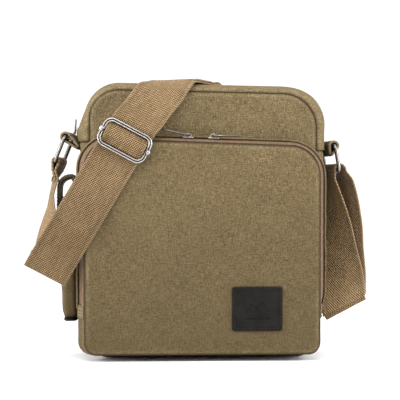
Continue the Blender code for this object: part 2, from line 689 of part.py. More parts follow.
def build_zip_sliders():
    up = Vector((0, 0, 1))
    depth = Vector((0, 1, 0))
    main_foot = Vector((-HALF_WIDTH - SIDE_BELLY - 0.5 * MM, 0, ZIP_END_LEFT + 9 * MM))
    hinge = build_slider("main_zip_slider", main_foot, up, Vector((-1, 0, 0)))
    build_pull("main_zip_pull", hinge, Vector((0.06, 0, 1)).normalized(), depth, 13 * MM)

    slope = Vector((POCKET_RIGHT - POCKET_LEFT, 0, POCKET_TOP_RIGHT - POCKET_TOP_LEFT)).normalized()
    lift = Vector((-slope.z, 0, slope.x))
    for side, x, raised in (("left", -15.5 * MM, 11), ("right", 8.5 * MM, 3)):
        rise = POCKET_TOP_LEFT + (x - POCKET_LEFT) * slope.z / slope.x
        foot = Vector((x, POCKET_ZIP_Y, rise)) + lift * (POCKET_BELLY + 0.4 * MM)
        hinge = build_slider("pocket_slider_" + side, foot, slope, lift)
        sign = -1 if side == "left" else 1
        angle = math.radians(raised)
        along = slope * sign * math.cos(angle) + lift * math.sin(angle)
        build_pull("pocket_pull_" + side, hinge, along, depth, 26 * MM)


def build_bag():
    build_panels()
    build_gussets()
    build_top()
    build_lining()
    build_pocket()
    build_pocket_trim()
    build_side_pouch()
    left_bar, right_bar = build_rings()
    build_left_leg(left_bar)
    build_front_strap()
    build_right_legs(right_bar)
    build_buckle()
    build_zip_sliders()


build_bag()
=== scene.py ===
"""Canvas messenger bag: the visible model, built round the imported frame.

Metres, +Z up, the front along -Y and the origin in the middle of the base.  Cloth pieces are sheets
with rolled seams, hems and stitches, hardware is swept wire, and every material is made of nodes.
"""
import json
import math

import bmesh
import bpy
from mathutils import Matrix, Vector, noise
from mathutils.bvhtree import BVHTree


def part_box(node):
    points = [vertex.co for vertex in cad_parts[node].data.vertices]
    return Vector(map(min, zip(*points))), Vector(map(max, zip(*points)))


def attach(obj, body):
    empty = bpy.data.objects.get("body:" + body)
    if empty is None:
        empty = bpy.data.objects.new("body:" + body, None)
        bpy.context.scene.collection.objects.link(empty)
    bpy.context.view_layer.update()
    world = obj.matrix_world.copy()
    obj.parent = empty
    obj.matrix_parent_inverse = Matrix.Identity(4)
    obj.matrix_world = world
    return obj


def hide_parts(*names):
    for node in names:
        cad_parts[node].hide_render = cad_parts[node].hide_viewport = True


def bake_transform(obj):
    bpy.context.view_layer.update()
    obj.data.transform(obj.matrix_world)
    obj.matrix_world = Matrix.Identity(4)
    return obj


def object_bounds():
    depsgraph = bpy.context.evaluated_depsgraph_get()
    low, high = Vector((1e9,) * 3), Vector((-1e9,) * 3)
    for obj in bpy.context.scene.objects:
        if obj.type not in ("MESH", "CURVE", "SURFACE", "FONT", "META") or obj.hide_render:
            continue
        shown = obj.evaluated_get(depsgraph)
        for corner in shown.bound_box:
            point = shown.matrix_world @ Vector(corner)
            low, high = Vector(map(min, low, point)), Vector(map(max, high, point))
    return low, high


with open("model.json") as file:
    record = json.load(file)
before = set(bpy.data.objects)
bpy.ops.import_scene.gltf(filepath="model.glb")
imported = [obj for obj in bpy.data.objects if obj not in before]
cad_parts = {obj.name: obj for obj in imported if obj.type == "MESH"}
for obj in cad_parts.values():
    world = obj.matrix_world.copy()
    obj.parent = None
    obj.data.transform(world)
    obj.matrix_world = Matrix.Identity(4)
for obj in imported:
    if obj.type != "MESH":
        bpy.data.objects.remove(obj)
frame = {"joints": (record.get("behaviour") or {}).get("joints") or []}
cad_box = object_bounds()

MM = 0.001

# The shell, as the frame has it
HALF_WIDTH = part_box("front_panel")[1].x
HALF_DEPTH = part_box("back_panel")[1].y
TOP_LEFT = 257.5 * MM
TOP_RIGHT = 253.5 * MM
TOP_RADII = (28 * MM, 33 * MM)
BASE_RADIUS = 18 * MM
SIDE_BELLY = 11 * MM
TOP_BELLY = 7 * MM
BASE_SAG = 1.5 * MM         # the base's seams stand this far off the floor
SEAM_Y = 34.3 * MM          # where panels and gussets meet, behind the panel's face
ZIP_END_LEFT = 208 * MM
ZIP_END_RIGHT = 200 * MM
TAPE_EDGE = 7.7 * MM        # from a zip's middle to the cloth's hem, nearly
SLOT = 0.25 * MM            # half the gap between a zip's tapes

# The front pocket
POCKET_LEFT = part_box("pocket_face_panel")[0].x
POCKET_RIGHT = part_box("pocket_face_panel")[1].x
POCKET_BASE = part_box("pocket_face_panel")[0].z + 1 * MM
POCKET_TOP_LEFT = 209.3 * MM
POCKET_TOP_RIGHT = 201.9 * MM
POCKET_TOP_RADIUS = 28 * MM
POCKET_BASE_RADIUS = 11 * MM
POCKET_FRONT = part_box("pocket_face_panel")[0].y
POCKET_ZIP_Y = -52 * MM
POCKET_ZIP_END = 49 * MM

# Thicknesses and widths
CANVAS = 1.6 * MM
TURNED_CANVAS = 1.4 * MM
TAPE = 0.7 * MM
WEB = 1.6 * MM
LAYER = 1.9 * MM            # one layer of webbing on another
WEB_WIDTH = 43 * MM
LOOP_WIDTH = 41.5 * MM
WIRE = 1.9 * MM             # the rings' wire, its radius
CLEAR = 0.3 * MM            # webbing stands this far off the metal


def smooth(value):
    value = max(0.0, min(1.0, value))
    return value * value * (3 - 2 * value)


def ripple(x, y, z, size):
    """Repeatable noise from -1 to 1; size is the width of one swell."""
    return noise.noise(Vector((x, y, z)) / size)


def bell(value, width):
    return math.exp(-(value / width) ** 2)


def bow(value, power):
    """A power that keeps the sign; it squares off a sine."""
    return math.copysign(abs(value) ** power, value)


def edge_drop(fall):
    """The drop of a quarter-round edge, from 0 to 1, at a share of its width."""
    return 1 - math.sqrt(max(0.0, 1 - fall * fall))


def circle(steps, extra=0):
    """(cosine, sine) at even steps of a turn; one extra step closes a sheet on its start."""
    angles = [2 * math.pi * k / steps for k in range(steps + extra)]
    return [(math.cos(angle), math.sin(angle)) for angle in angles]


def upright(flat):
    """A vector of the XZ plane in space."""
    return Vector((flat.x, 0, flat.y))


# Materials ------------------------------------------------------------------------------------

class Paint:
    """Short calls for the nodes of one material."""

    def __init__(self, name):
        self.material = bpy.data.materials.new(name)
        self.material.use_nodes = True
        self.tree = self.material.node_tree
        self.shader = self.tree.nodes["Principled BSDF"]

    def feed(self, socket, value):
        if isinstance(value, bpy.types.NodeSocket):
            self.tree.links.new(value, socket)
        else:
            socket.default_value = value

    def node(self, kind, feeds, **settings):
        made = self.tree.nodes.new("ShaderNode" + kind)
        for name, value in settings.items():
            setattr(made, name, value)
        for key, value in feeds.items():
            self.feed(made.inputs[key], value)
        return made

    def coords(self, kind):
        return self.node("TexCoord", {}).outputs[kind]

    def axes(self, vector):
        return self.node("SeparateXYZ", {"Vector": vector}).outputs

    def noise(self, vector, scale, detail=3.0, roughness=0.55):
        feeds = {"Vector": vector, "Scale": scale, "Detail": detail, "Roughness": roughness}
        return self.node("TexNoise", feeds).outputs["Fac"]

    def streaks(self, vector, scale):
        """Noise drawn out along the axis with the lowest scale."""
        return self.noise(self.node("Mapping", {"Vector": vector, "Scale": scale}).outputs["Vector"], 1, 2)

    def cells(self, scale, feature):
        feeds = {"Vector": self.coords("Object"), "Scale": scale}
        return self.node("TexVoronoi", feeds, feature=feature).outputs["Distance"]

    def calc(self, operation, first, second=0.0):
        return self.node("Math", {0: first, 1: second}, operation=operation).outputs[0]

    def times(self, first, second):
        return self.calc("MULTIPLY", first, second)

    def plus(self, first, second):
        return self.calc("ADD", first, second)

    def total(self, *parts):
        """The sum of (value, weight) pairs."""
        weighted = [self.times(value, weight) for value, weight in parts]
        made = weighted[0]
        for part in weighted[1:]:
            made = self.plus(made, part)
        return made

    def span(self, value, low, high, new_low=0.0, new_high=1.0):
        feeds = {"Value": value, "From Min": low, "From Max": high, "To Min": new_low, "To Max": new_high}
        return self.node("MapRange", feeds, clamp=True).outputs["Result"]

    def mix(self, share, *colours):
        first, second = ((*c, 1) if isinstance(c, tuple) else c for c in colours)
        return self.node("Mix", {0: share, 6: first, 7: second}, data_type="RGBA").outputs[2]

    def shaded(self, colour, seam):
        """The colour, turned to the seam's where the mesh's shade is high."""
        return self.mix(self.attribute("shade"), colour, seam)

    def ramp(self, value, *stops):
        node = self.node("ValToRGB", {"Fac": value})
        points = node.color_ramp.elements
        while len(points) < len(stops):
            points.new(0.5)
        for point, (place, colour) in zip(points, stops):
            point.position = place
            point.color = (*colour, 1)
        return node.outputs["Color"]

    def attribute(self, name):
        return self.node("Attribute", {}, attribute_name=name).outputs["Fac"]

    def waves(self, value, pitch):
        """A sine of a length in metres, from -1 to 1."""
        return self.calc("SINE", self.times(value, 2 * math.pi / pitch))

    def bump(self, height, distance, strength=1.0, under=None):
        feeds = {"Height": height, "Distance": distance, "Strength": strength}
        if under is not None:
            feeds["Normal"] = under
        return self.node("Bump", feeds).outputs["Normal"]

    def finish(self, colour, roughness, normal, **fixed):
        self.feed(self.shader.inputs["Base Color"], colour)
        self.feed(self.shader.inputs["Roughness"], roughness)
        self.feed(self.shader.inputs["Normal"], normal)
        for name, value in fixed.items():
            self.shader.inputs[name.replace("_", " ")].default_value = value
        return self.material

    def finish_cloth(self, colour, roughness, normal, sheen, sheen_roughness, gloss):
        return self.finish(colour, roughness, normal, Sheen_Weight=sheen, Sheen_Roughness=sheen_roughness,
                           Specular_IOR_Level=gloss, Sheen_Tint=(0.75, 0.6, 0.4, 1),
                           Specular_Tint=(0.85, 0.7, 0.5, 1))


def woven(name, tones, pitch, worn, seam):
    """Washed plain-weave cloth: yarn, slubs, mottling, rubbed edges, painted shade in the seams and painted
    shade lower down.
    """
    paint = Paint(name)
    uv, place = paint.coords("UV"), paint.coords("Object")
    axes = paint.axes(uv)
    weave = paint.times(paint.waves(axes["X"], pitch), paint.waves(axes["Y"], pitch))
    slubs = paint.total((paint.streaks(uv, (1100, 140, 1)), 0.5), (paint.streaks(uv, (140, 1100, 1)), 0.5))
    speckle = paint.noise(place, 840, 2, 0.6)
    mottle = paint.noise(place, 70, 4, 0.6)
    cloud = paint.noise(place, 13, 2)
    value = paint.total((slubs, 0.46), (speckle, 0.44), (mottle, 0.05), (cloud, 0.05))
    colour = paint.ramp(value, (0.38, tones[0]), (0.50, tones[1]), (0.62, tones[2]))
    colour = paint.mix(paint.span(weave, 0, 1, 0.0, 0.3), colour, tones[2])
    colour = paint.mix(paint.span(weave, -1, 0, 0.35, 0.0), colour, tones[0])
    # Painted shade: the cloth darkens towards the base, where less light falls
    colour = paint.mix(paint.span(paint.axes(place)["Z"], 0.03, 0.25, 0.53, 0.0), colour, tones[0])
    rub = paint.times(paint.attribute("wear"), paint.span(speckle, 0.35, 0.62, 0.25, 1.0))
    # Rubbed colour where worn, then the seam colour as painted shade where the mesh's shade is high
    colour = paint.shaded(paint.mix(rub, colour, worn), seam)
    fine = paint.bump(paint.total((weave, 0.7), (slubs, 1.5)), 0.00022, 0.9)
    soft = paint.bump(paint.plus(mottle, speckle), 0.0003, 0.5, fine)
    return paint.finish_cloth(colour, paint.span(value, 0.3, 0.7, 0.96, 0.82), soft, 0.08, 0.6, 0.1)


def twill(name, tones, worn, seam):
    """Heavy strap webbing: steep ribs, each one broken into picks."""
    paint = Paint(name)
    uv, place = paint.coords("UV"), paint.coords("Object")
    axes = paint.axes(uv)
    wobble = paint.times(paint.calc("SUBTRACT", paint.noise(place, 160, 2), 0.5), 0.0011)
    rib_place = paint.plus(paint.total((axes["X"], 0.875), (axes["Y"], -0.53)), wobble)
    pick_place = paint.total((axes["X"], 0.53), (axes["Y"], 0.875))
    yarn = paint.total((paint.waves(rib_place, 0.00185), 0.58), (paint.waves(pick_place, 0.00165), 0.42))
    speckle = paint.noise(place, 520, 2, 0.6)
    cloud = paint.noise(place, 22, 2)
    value = paint.plus(paint.span(yarn, -1, 1, 0.0, 0.44), paint.total(
        (paint.streaks(uv, (900, 60, 1)), 0.18), (speckle, 0.22), (cloud, 0.16)))
    colour = paint.ramp(value, (0.31, tones[0]), (0.50, tones[1]), (0.70, tones[2]))
    # Rubbed selvedges, then the seam colour as painted shade where the mesh's shade is high
    colour = paint.shaded(paint.mix(paint.times(paint.attribute("wear"), 0.6), colour, worn), seam)
    fine = paint.bump(paint.plus(yarn, paint.times(speckle, 0.5)), 0.00035, 0.9)
    soft = paint.bump(cloud, 0.0025, 0.3, fine)
    return paint.finish_cloth(colour, paint.span(value, 0.2, 0.8, 0.9, 0.72), soft, 0.08, 0.5, 0.12)


def ribbed_tape(name, tones, seam):
    """Zip tape: fine ribs along the zip, a slight sheen, painted shade where the tapes meet and under the
    hem.
    """
    paint = Paint(name)
    axes = paint.axes(paint.coords("UV"))
    ribs = paint.waves(axes["X"], 0.0011)
    speckle = paint.noise(paint.coords("Object"), 480, 3, 0.6)
    value = paint.plus(paint.span(ribs, -1, 1, 0.0, 0.35), paint.times(speckle, 0.65))
    colour = paint.shaded(paint.ramp(value, (0.25, tones[0]), (0.5, tones[1]), (0.78, tones[2])), seam)
    normal = paint.bump(paint.plus(ribs, paint.times(paint.waves(axes["Y"], 0.0014), 0.6)), 0.0002)
    return paint.finish_cloth(colour, paint.span(speckle, 0.3, 0.7, 0.8, 0.62), normal, 0.05, 0.45, 0.12)


def grained(name, tones, worn):
    """Dark leather: pebbled grain, paler rubbed edges, a soft uneven gloss."""
    paint = Paint(name)
    place = paint.coords("Object")
    pebbles = paint.cells(820, "F1")
    cloud = paint.noise(place, 70, 3)
    rub = paint.times(paint.attribute("wear"), paint.span(paint.noise(place, 240), 0.35, 0.65))
    colour = paint.mix(rub, paint.ramp(cloud, (0.35, tones[0]), (0.65, tones[1])), worn)
    colour = paint.shaded(colour, (0.004, 0.003, 0.003))
    creases = paint.span(paint.cells(360, "DISTANCE_TO_EDGE"), 0.0, 0.12)
    wrinkles = paint.bump(creases, 0.00022, 0.8, paint.bump(pebbles, 0.00018, 0.7))
    gloss = paint.span(paint.plus(pebbles, cloud), 0.4, 1.2, 0.62, 0.42)
    return paint.finish(colour, gloss, wrinkles, Specular_IOR_Level=0.08)


def metal_with_painted_light(name, bright, dark):
    """Cast nickel, finely scratched: painted highlights where the shade is low, painted shade and reflections
    where high.
    """
    paint = Paint(name)
    place = paint.coords("Object")
    haze = paint.noise(place, 260, 4, 0.6)
    scratches = paint.streaks(place, (4200, 500, 4200))
    colour = paint.shaded(paint.mix(paint.span(haze, 0.4, 0.7, 0.0, 0.16), bright, dark), dark)
    gloss = paint.plus(paint.span(haze, 0.3, 0.7, 0.2, 0.32), paint.times(scratches, 0.08))
    height = paint.plus(haze, paint.times(scratches, 0.3))
    return paint.finish(colour, gloss, paint.bump(height, 0.00006, 0.5), Metallic=1.0)


def twisted_thread(name, tones):
    paint = Paint(name)
    strands = paint.streaks(paint.coords("Object"), (2600, 2600, 900))
    colour = paint.ramp(strands, (0.3, tones[0]), (0.7, tones[1]))
    return paint.finish_cloth(colour, paint.span(strands, 0.3, 0.7, 0.85, 0.65), paint.bump(strands, 0.0001),
                              0.05, 0.5, 0.12)


# Tones go from dark to pale; after them come the rubbed colour and the colour of the painted shade in the
# seams
MATERIALS = {
    "canvas": woven("canvas", ((0.047, 0.033, 0.015), (0.118, 0.087, 0.043), (0.226, 0.173, 0.096)),
                    1.3 * MM, (0.250, 0.195, 0.120), (0.016, 0.010, 0.004)),
    "lining": woven("lining", ((0.03, 0.022, 0.013), (0.05, 0.036, 0.022), (0.08, 0.06, 0.036)),
                    0.8 * MM, (0.14, 0.11, 0.07), (0.02, 0.014, 0.01)),
    "webbing": twill("webbing", ((0.024, 0.013, 0.005), (0.142, 0.090, 0.044), (0.410, 0.285, 0.157)),
                     (0.280, 0.200, 0.120), (0.030, 0.018, 0.009)),
    "zip_tape": ribbed_tape("zip_tape", ((0.068, 0.037, 0.021), (0.150, 0.095, 0.059),
                                         (0.26, 0.175, 0.113)), (0.014, 0.006, 0.003)),
    "zip_coil": ribbed_tape("zip_coil", ((0.06, 0.035, 0.02), (0.10, 0.06, 0.035), (0.15, 0.095, 0.06)),
                            (0.02, 0.012, 0.008)),
    "leather": grained("leather", ((0.0055, 0.0052, 0.0048), (0.0105, 0.0100, 0.0095)),
                       (0.036, 0.020, 0.013)),
    "waxed_cloth": grained("waxed_cloth", ((0.022, 0.018, 0.011), (0.050, 0.041, 0.025)),
                           (0.085, 0.070, 0.045)),
    # The nickel's dark colour carries its painted shade and painted dark reflections, and a little random
    # tarnish
    "nickel": metal_with_painted_light("nickel", (0.46, 0.43, 0.40), (0.016, 0.014, 0.012)),
    "thread": twisted_thread("thread", ((0.070, 0.050, 0.026), (0.165, 0.125, 0.070))),
    "dark_thread": twisted_thread("dark_thread", ((0.010, 0.006, 0.005), (0.024, 0.015, 0.012))),
}


# Mesh helpers ---------------------------------------------------------------------------------

def add_piece(name, points, faces, material, uvs=None, shades=None, wears=None):
    """A smooth piece with its weave coordinates in metres and its shade and wear at each point."""
    data = bpy.data.meshes.new(name)
    data.from_pydata(points, [], faces)
    for key, values in (("shade", shades), ("wear", wears)):
        layer = data.attributes.new(key, "FLOAT", "POINT")
        layer.data.foreach_set("value", values or [0.0] * len(points))
    if uvs:
        layer = data.uv_layers.new(name="weave")
        corners = []
        for loop in data.loops:
            corners += uvs[loop.vertex_index]
        layer.data.foreach_set("uv", corners)
    data.polygons.foreach_set("use_smooth", [True] * len(data.polygons))
    data.materials.append(MATERIALS[material])
    piece = bpy.data.objects.new(name, data)
    bpy.context.scene.collection.objects.link(piece)
    return piece


ANY_WAY = Vector((0, 0, 0))


def sheet(name, rows, material, outward=ANY_WAY):
    """A sheet through rows of (point, uv, shade, wear); outward is which way its face looks."""
    count = len(rows[0])
    faces = [(corner, corner + 1, corner + count + 1, corner + count)
             for row in range(len(rows) - 1) for corner in range(row * count, (row + 1) * count - 1)]
    points, uvs, shades, wears = zip(*(cell for row in rows for cell in row))
    a, b, c = (points[index] for index in faces[len(faces) // 2 + count // 2][:3])
    if (b - a).cross(c - b).dot(outward) < 0:
        faces = [face[::-1] for face in faces]
    return add_piece(name, points, faces, material, uvs, shades, wears)


def thicken(piece, thickness, offset=-1, even=True):
    shell = piece.modifiers.new("thickness", "SOLIDIFY")
    shell.thickness = thickness
    shell.offset = offset
    shell.use_quality_normals = even


def place_on(piece, body, *replaced):
    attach(piece, body)
    if replaced:
        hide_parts(*replaced)
    return piece


def cloth(name, rows, material, outward, thickness, node):
    """A sheet of cloth with its thickness, in a CAD node's place."""
    piece = sheet(name, rows, material, outward)
    thicken(piece, thickness)
    place_on(piece, "bag", node)


def tube_faces(sides, rings, base=0, closed=False, caps=(True, True)):
    """The faces round rings of points: a ring of tube, or an open tube with capped ends."""
    faces = []
    for ring in range(rings if closed else rings - 1):
        step = ((ring + 1) % rings - ring) * sides
        for k in range(sides):
            here, beside = base + ring * sides + k, base + ring * sides + (k + 1) % sides
            faces.append((here, beside, beside + step, here + step))
    if caps[0] and not closed:
        faces.append(tuple(base + k for k in reversed(range(sides))))
    if caps[1] and not closed:
        faces.append(tuple(base + (rings - 1) * sides + k for k in range(sides)))
    return faces


def fix_normals(piece, weld=True):
    mesh = bmesh.new()
    mesh.from_mesh(piece.data)
    if weld:
        bmesh.ops.remove_doubles(mesh, verts=mesh.verts, dist=0.01 * MM)
    bmesh.ops.recalc_face_normals(mesh, faces=mesh.faces)
    mesh.to_mesh(piece.data)
    mesh.free()


def axes_at(origin, *axes):
    matrix = Matrix(axes).transposed().to_4x4()
    matrix.translation = origin
    return matrix


def corner_arc(before, corner, after, radius, steps):
    """Points of the arc that rounds one corner."""
    to_before = (before - corner).normalized()
    to_after = (after - corner).normalized()
    half_angle = to_before.angle(to_after) / 2
    centre = corner + (to_before + to_after).normalized() * (radius / math.sin(half_angle))
    start = corner + to_before * (radius / math.tan(half_angle)) - centre
    end = corner + to_after * (radius / math.tan(half_angle)) - centre
    sweep = start.angle(end)
    shares = [step / steps for step in range(steps + 1)]
    return [centre + (start * math.sin((1 - share) * sweep) + end * math.sin(share * sweep)) / math.sin(sweep)
            for share in shares]


def rounded(corners, steps=16):
    """A path through corners given as (x, z, radius); radius 0 marks an open path's ends."""
    points = [Vector((x, z)) for x, z, _ in corners]
    path = []
    for index, (_, _, radius) in enumerate(corners):
        before, after = points[index - 1], points[(index + 1) % len(points)]
        path += corner_arc(before, points[index], after, radius, steps) if radius else [points[index]]
    return path


def walk(path):
    """The length of a path up to each of its points."""
    lengths = [0.0]
    for start, end in zip(path, path[1:]):
        lengths.append(lengths[-1] + (end - start).length)
    return lengths


def point_at(path, lengths, distance):
    """The point at a distance along a path, and the number of the path's point before it."""
    index = 0
    while index < len(path) - 2 and lengths[index + 1] < distance:
        index += 1
    share = (distance - lengths[index]) / max(lengths[index + 1] - lengths[index], 1e-9)
    return path[index].lerp(path[index + 1], share), index


def resample(path, spacing):
    """The same path with its points evenly spaced."""
    lengths = walk(path)
    pieces = max(2, round(lengths[-1] / spacing))
    return [point_at(path, lengths, lengths[-1] * step / pieces)[0] for step in range(pieces + 1)]


def directions(path):
    return [(path[min(index + 1, len(path) - 1)] - path[max(index - 1, 0)]).normalized()
            for index in range(len(path))]


def outward_normals(path):
    return [Vector((-along.y, along.x)) for along in directions(path)]


def stops(low, high, spacing):
    """Values from low to high that crowd towards the seams at both ends."""
    near = [step * MM for step in (0, 0.5, 1.1, 1.8, 2.7, 3.9, 5.4, 7.4) if step * MM < (high - low) / 2.5]
    inner_low, inner_high = low + near[-1], high - near[-1]
    count = max(1, round((inner_high - inner_low) / spacing))
    inner = [inner_low + (inner_high - inner_low) * step / count for step in range(count + 1)]
    return [low + step for step in near[:-1]] + inner + [high - step for step in reversed(near[:-1])]


# Stitches -------------------------------------------------------------------------------------

STITCH_SIDES = 6
# (share of its length, rise, girth), the last two in thread radii
STITCH_SHAPE = ((0.0, -0.5, 0.55), (0.18, 0.55, 0.95), (0.5, 0.85, 1.0), (0.82, 0.55, 0.95),
                (1.0, -0.5, 0.55))


class Stitches:
    """Collects short stitches of real thread and makes one piece of them."""

    def __init__(self, name, material):
        self.name = name
        self.material = material
        self.points = []
        self.faces = []

    def add(self, start, end, lift, radius):
        """One stitch from start to end, humped along lift."""
        side = (end - start).normalized().cross(lift).normalized()
        self.faces += tube_faces(STITCH_SIDES, len(STITCH_SHAPE), len(self.points))
        for share, rise, girth in STITCH_SHAPE:
            centre = start.lerp(end, share) + lift * (rise * radius)
            self.points += [centre + (side * c + lift * s) * (radius * girth)
                            for c, s in circle(STITCH_SIDES)]

    def run(self, path, lifts, pitch=3.0 * MM, cover=0.72, radius=0.38 * MM):
        """Stitches along a path; lifts gives the way out of the cloth at each point, or one for all."""
        lengths = walk(path)
        count = max(1, round(lengths[-1] / pitch))
        for step in range(count):
            middle = lengths[-1] * (step + 0.5) / count
            reach = lengths[-1] / count * cover / 2
            start, index = point_at(path, lengths, middle - reach)
            end, _ = point_at(path, lengths, middle + reach)
            self.add(start, end, lifts if isinstance(lifts, Vector) else lifts[index], radius)

    def follow(self, pairs, surface, y, sink=0.0, pitch=3.0 * MM):
        """Stitches on a strip's surface through (point, normal) pairs, all at one y."""
        lifts = [upright(normal) for _, normal in pairs]
        line = [surface(point, normal, y, 0.0) for point, normal in pairs]
        self.run([point - lift * sink for point, lift in zip(line, lifts)], lifts, pitch)

    def make(self, body):
        piece = add_piece(self.name, self.points, self.faces, self.material)
        return place_on(piece, body)


# Cloth ----------------------------------------------------------------------------------------

SETTLE_FRAMES = 20


def settle(piece, pinned, pressure, slack, cap):
    """Let a sewn panel swell between its seams, then keep that shape in its mesh."""
    scene = bpy.context.scene
    piece.vertex_groups.new(name="seam").add(pinned, 1.0, "REPLACE")
    cloth = piece.modifiers.new("cloth", "CLOTH")
    settings = {"vertex_group_mass": "seam", "quality": 4, "mass": 0.3, "tension_stiffness": 30,
                "compression_stiffness": 30, "shear_stiffness": 12, "bending_stiffness": 2.5,
                "shrink_min": -slack, "use_pressure": True, "uniform_pressure_force": pressure}
    for name, value in settings.items():
        setattr(cloth.settings, name, value)
    cloth.settings.effector_weights.gravity = 0
    cloth.collision_settings.use_collision = False
    cloth.point_cache.frame_end = SETTLE_FRAMES
    for step in range(1, SETTLE_FRAMES + 1):
        scene.frame_set(step)
    shown = piece.evaluated_get(bpy.context.evaluated_depsgraph_get())
    moved = [vertex.co.copy() for vertex in shown.data.vertices]
    for vertex, goal in zip(piece.data.vertices, moved):
        shift = goal - vertex.co
        vertex.co += shift * min(1, cap / max(shift.length, 1e-9))
    piece.modifiers.remove(cloth)
    scene.frame_set(1)


# Panels ---------------------------------------------------------------------------------------

class Outline:
    """A rounded rectangle in XZ whose top slopes from one side to the other."""

    def __init__(self, left, right, base, top_left, top_right, base_radius, top_radii):
        self.left, self.right, self.base = left, right, base
        self.top = (top_left + top_right) / 2
        self.slope = (top_right - top_left) / (right - left)
        self.middle = (left + right) / 2
        self.corners = [(left, base, base_radius), (left, top_left, top_radii[0]),
                        (right, top_right, top_radii[1]), (right, base, base_radius)]
        self.turns = []
        for side, x, top_radius in ((-1, left, top_radii[0]), (1, right, top_radii[1])):
            for up, z, radius in ((-1, base, base_radius), (1, self.top, top_radius)):
                self.turns.append((x - side * radius, z - up * radius, side, up, radius))

    def place(self, x, z):
        """Move a point of the plain rectangle into the rounded one; returns x, z, depth inside it."""
        depth = min(x - self.left, self.right - x, z - self.base, self.top - z)
        for centre_x, centre_z, side, up, radius in self.turns:
            p = (x - centre_x) * side / radius
            q = (z - centre_z) * up / radius
            if p > 0 and q > 0:
                x = centre_x + side * radius * p * math.sqrt(1 - q * q / 2)
                z = centre_z + up * radius * q * math.sqrt(1 - p * p / 2)
                depth = radius - math.hypot(x - centre_x, z - centre_z)
                break
        share = (z - self.base) / (self.top - self.base)
        return x, z + share * self.slope * (x - self.middle), max(depth, 0.0)


SHELL = Outline(-HALF_WIDTH, HALF_WIDTH, BASE_SAG, TOP_LEFT, TOP_RIGHT, BASE_RADIUS, TOP_RADII)
POCKET = Outline(POCKET_LEFT, POCKET_RIGHT, POCKET_BASE, POCKET_TOP_LEFT, POCKET_TOP_RIGHT,
                 POCKET_BASE_RADIUS, (POCKET_TOP_RADIUS, POCKET_TOP_RADIUS))


def seam_tone(depth, x, z):
    """Painted shade in the seam's valley and rubbed cloth just inside it."""
    patchy = 0.55 + 0.6 * ripple(x, 0, z, 19 * MM) + 0.3 * ripple(x, 3, z, 6 * MM)
    return bell(depth, 1.35 * MM), max(0.0, min(1.0, 0.42 * bell(depth - 2.9 * MM, 1.3 * MM) * patchy))


def panel(name, outline, face_y, side, crown, roll, spacing, seed, edge, settling, node):
    """A sewn panel: rolled into its seam, puckered beside it, crowned in between and settled."""
    rows, pinned = [], []
    columns = stops(outline.left, outline.right, spacing)
    for z in stops(outline.base, outline.top, spacing):
        row = []
        for x in columns:
            px, pz, depth = outline.place(x, z)
            swell = crown * (1 - (1 - min(depth / (75 * MM), 1)) ** 2.2)
            pucker = 0.34 * MM * math.exp(-depth / (6 * MM)) * smooth(depth / (1.5 * MM))
            pucker *= ripple(px + pz, seed, px - pz, 8 * MM) * 2
            waves = 0.75 * MM * smooth(depth / (16 * MM)) * (
                ripple(px * 1.3, seed, pz * 0.7, 46 * MM) + 0.45 * ripple(px, seed + 5, pz, 17 * MM))
            rolled = roll * edge_drop(max(0.0, 1 - depth / edge))
            if depth < 2.5 * MM:
                pinned.append(len(rows) * len(columns) + len(row))
            y = face_y + side * (swell + pucker + waves - rolled)
            row.append((Vector((px, y, pz)), (px, pz), *seam_tone(depth, px, pz)))
        rows.append(row)
    piece = sheet(name, rows, "canvas", Vector((0, side, 0)))
    settle(piece, pinned, *settling)
    thicken(piece, CANVAS)
    return place_on(piece, "bag", node)


def strip(name, path, ys, surface, material, thickness, node, tone, spacing=2.6 * MM):
    """A strip of gusset or tape along a path; surface(point, normal, y, distance) places it."""
    path = resample(path, spacing)
    normals = outward_normals(path)
    stations = list(zip(path, normals, walk(path)))
    rows = [[(surface(point, normal, y, distance), (y, distance), *tone(y, distance))
             for point, normal, distance in stations] for y in ys]
    cloth(name, rows, material, upright(normals[len(normals) // 2]), thickness, node)


def raised(point, normal, y, reach):
    return Vector((point.x + normal.x * reach, y, point.y + normal.y * reach))


def side_belly(x, z):
    """How far the gusset stands out beside each panel: full at mid height, drawn in at both ends."""
    if x < 0:
        waist = 2.5 * MM * bell(z - 195 * MM, 12 * MM)
        upper = 7 * MM * smooth((z - 214 * MM) / (26 * MM))
        return SIDE_BELLY - upper - 2 * MM * smooth((60 * MM - z) / (50 * MM)) - waist
    upper = 2 * MM * smooth((250 * MM - z) / (15 * MM))
    return SIDE_BELLY - upper - 7 * MM * smooth((80 * MM - z) / (50 * MM))


def flush(y, distance):
    return 0.0


def shell_surface(lift=0.0, wrinkle=0.0, pinch=flush):
    """The gusset's shape: crowned between the seams, rolled in at both of them."""
    def surface(point, normal, y, distance):
        crown = max(0.0, 1 - (abs(y) / SEAM_Y) ** 4)
        side = normal.x ** 2 * (1 + min(normal.y, 0))
        roll = 1.5 * MM * (1 - smooth((SEAM_Y - abs(y)) / (4 * MM)))
        top = TOP_BELLY * max(normal.y, 0) ** (2 if point.x < 0 else 1) + BASE_SAG / 2 * max(-normal.y, 0)
        reach = crown * (side_belly(point.x, point.y) * side + top) - roll + lift
        reach += wrinkle * crown * side * (ripple(y, point.y * 2.2, 4 * normal.x, 30 * MM)
                                           + 0.5 * ripple(y, point.y, normal.x, 12 * MM))
        return raised(point, normal, y, reach - pinch(y, distance))
    return surface


def gusset_tone(y, distance):
    return seam_tone(SEAM_Y - abs(y), distance, y)


def hem(edge):
    """Cloth drawn down where it is turned under beside a zip."""
    return lambda y, distance: 0.5 * MM * (1 - smooth(abs(y - edge) / (1.2 * MM)))


def slot_pinch(inner):
    """Tape drawn down where it meets the other tape."""
    return lambda y, distance: 1.1 * MM * bell(y - inner, 0.8 * MM)


def tape_tone(inner, outer):
    """Painted shade where the two tapes meet and under the gusset's hem."""
    def tone(y, distance):
        return 0.95 * bell(min(abs(y - inner) / (1.1 * MM), abs(y - outer) / (0.9 * MM)), 1), 0.0
    return tone


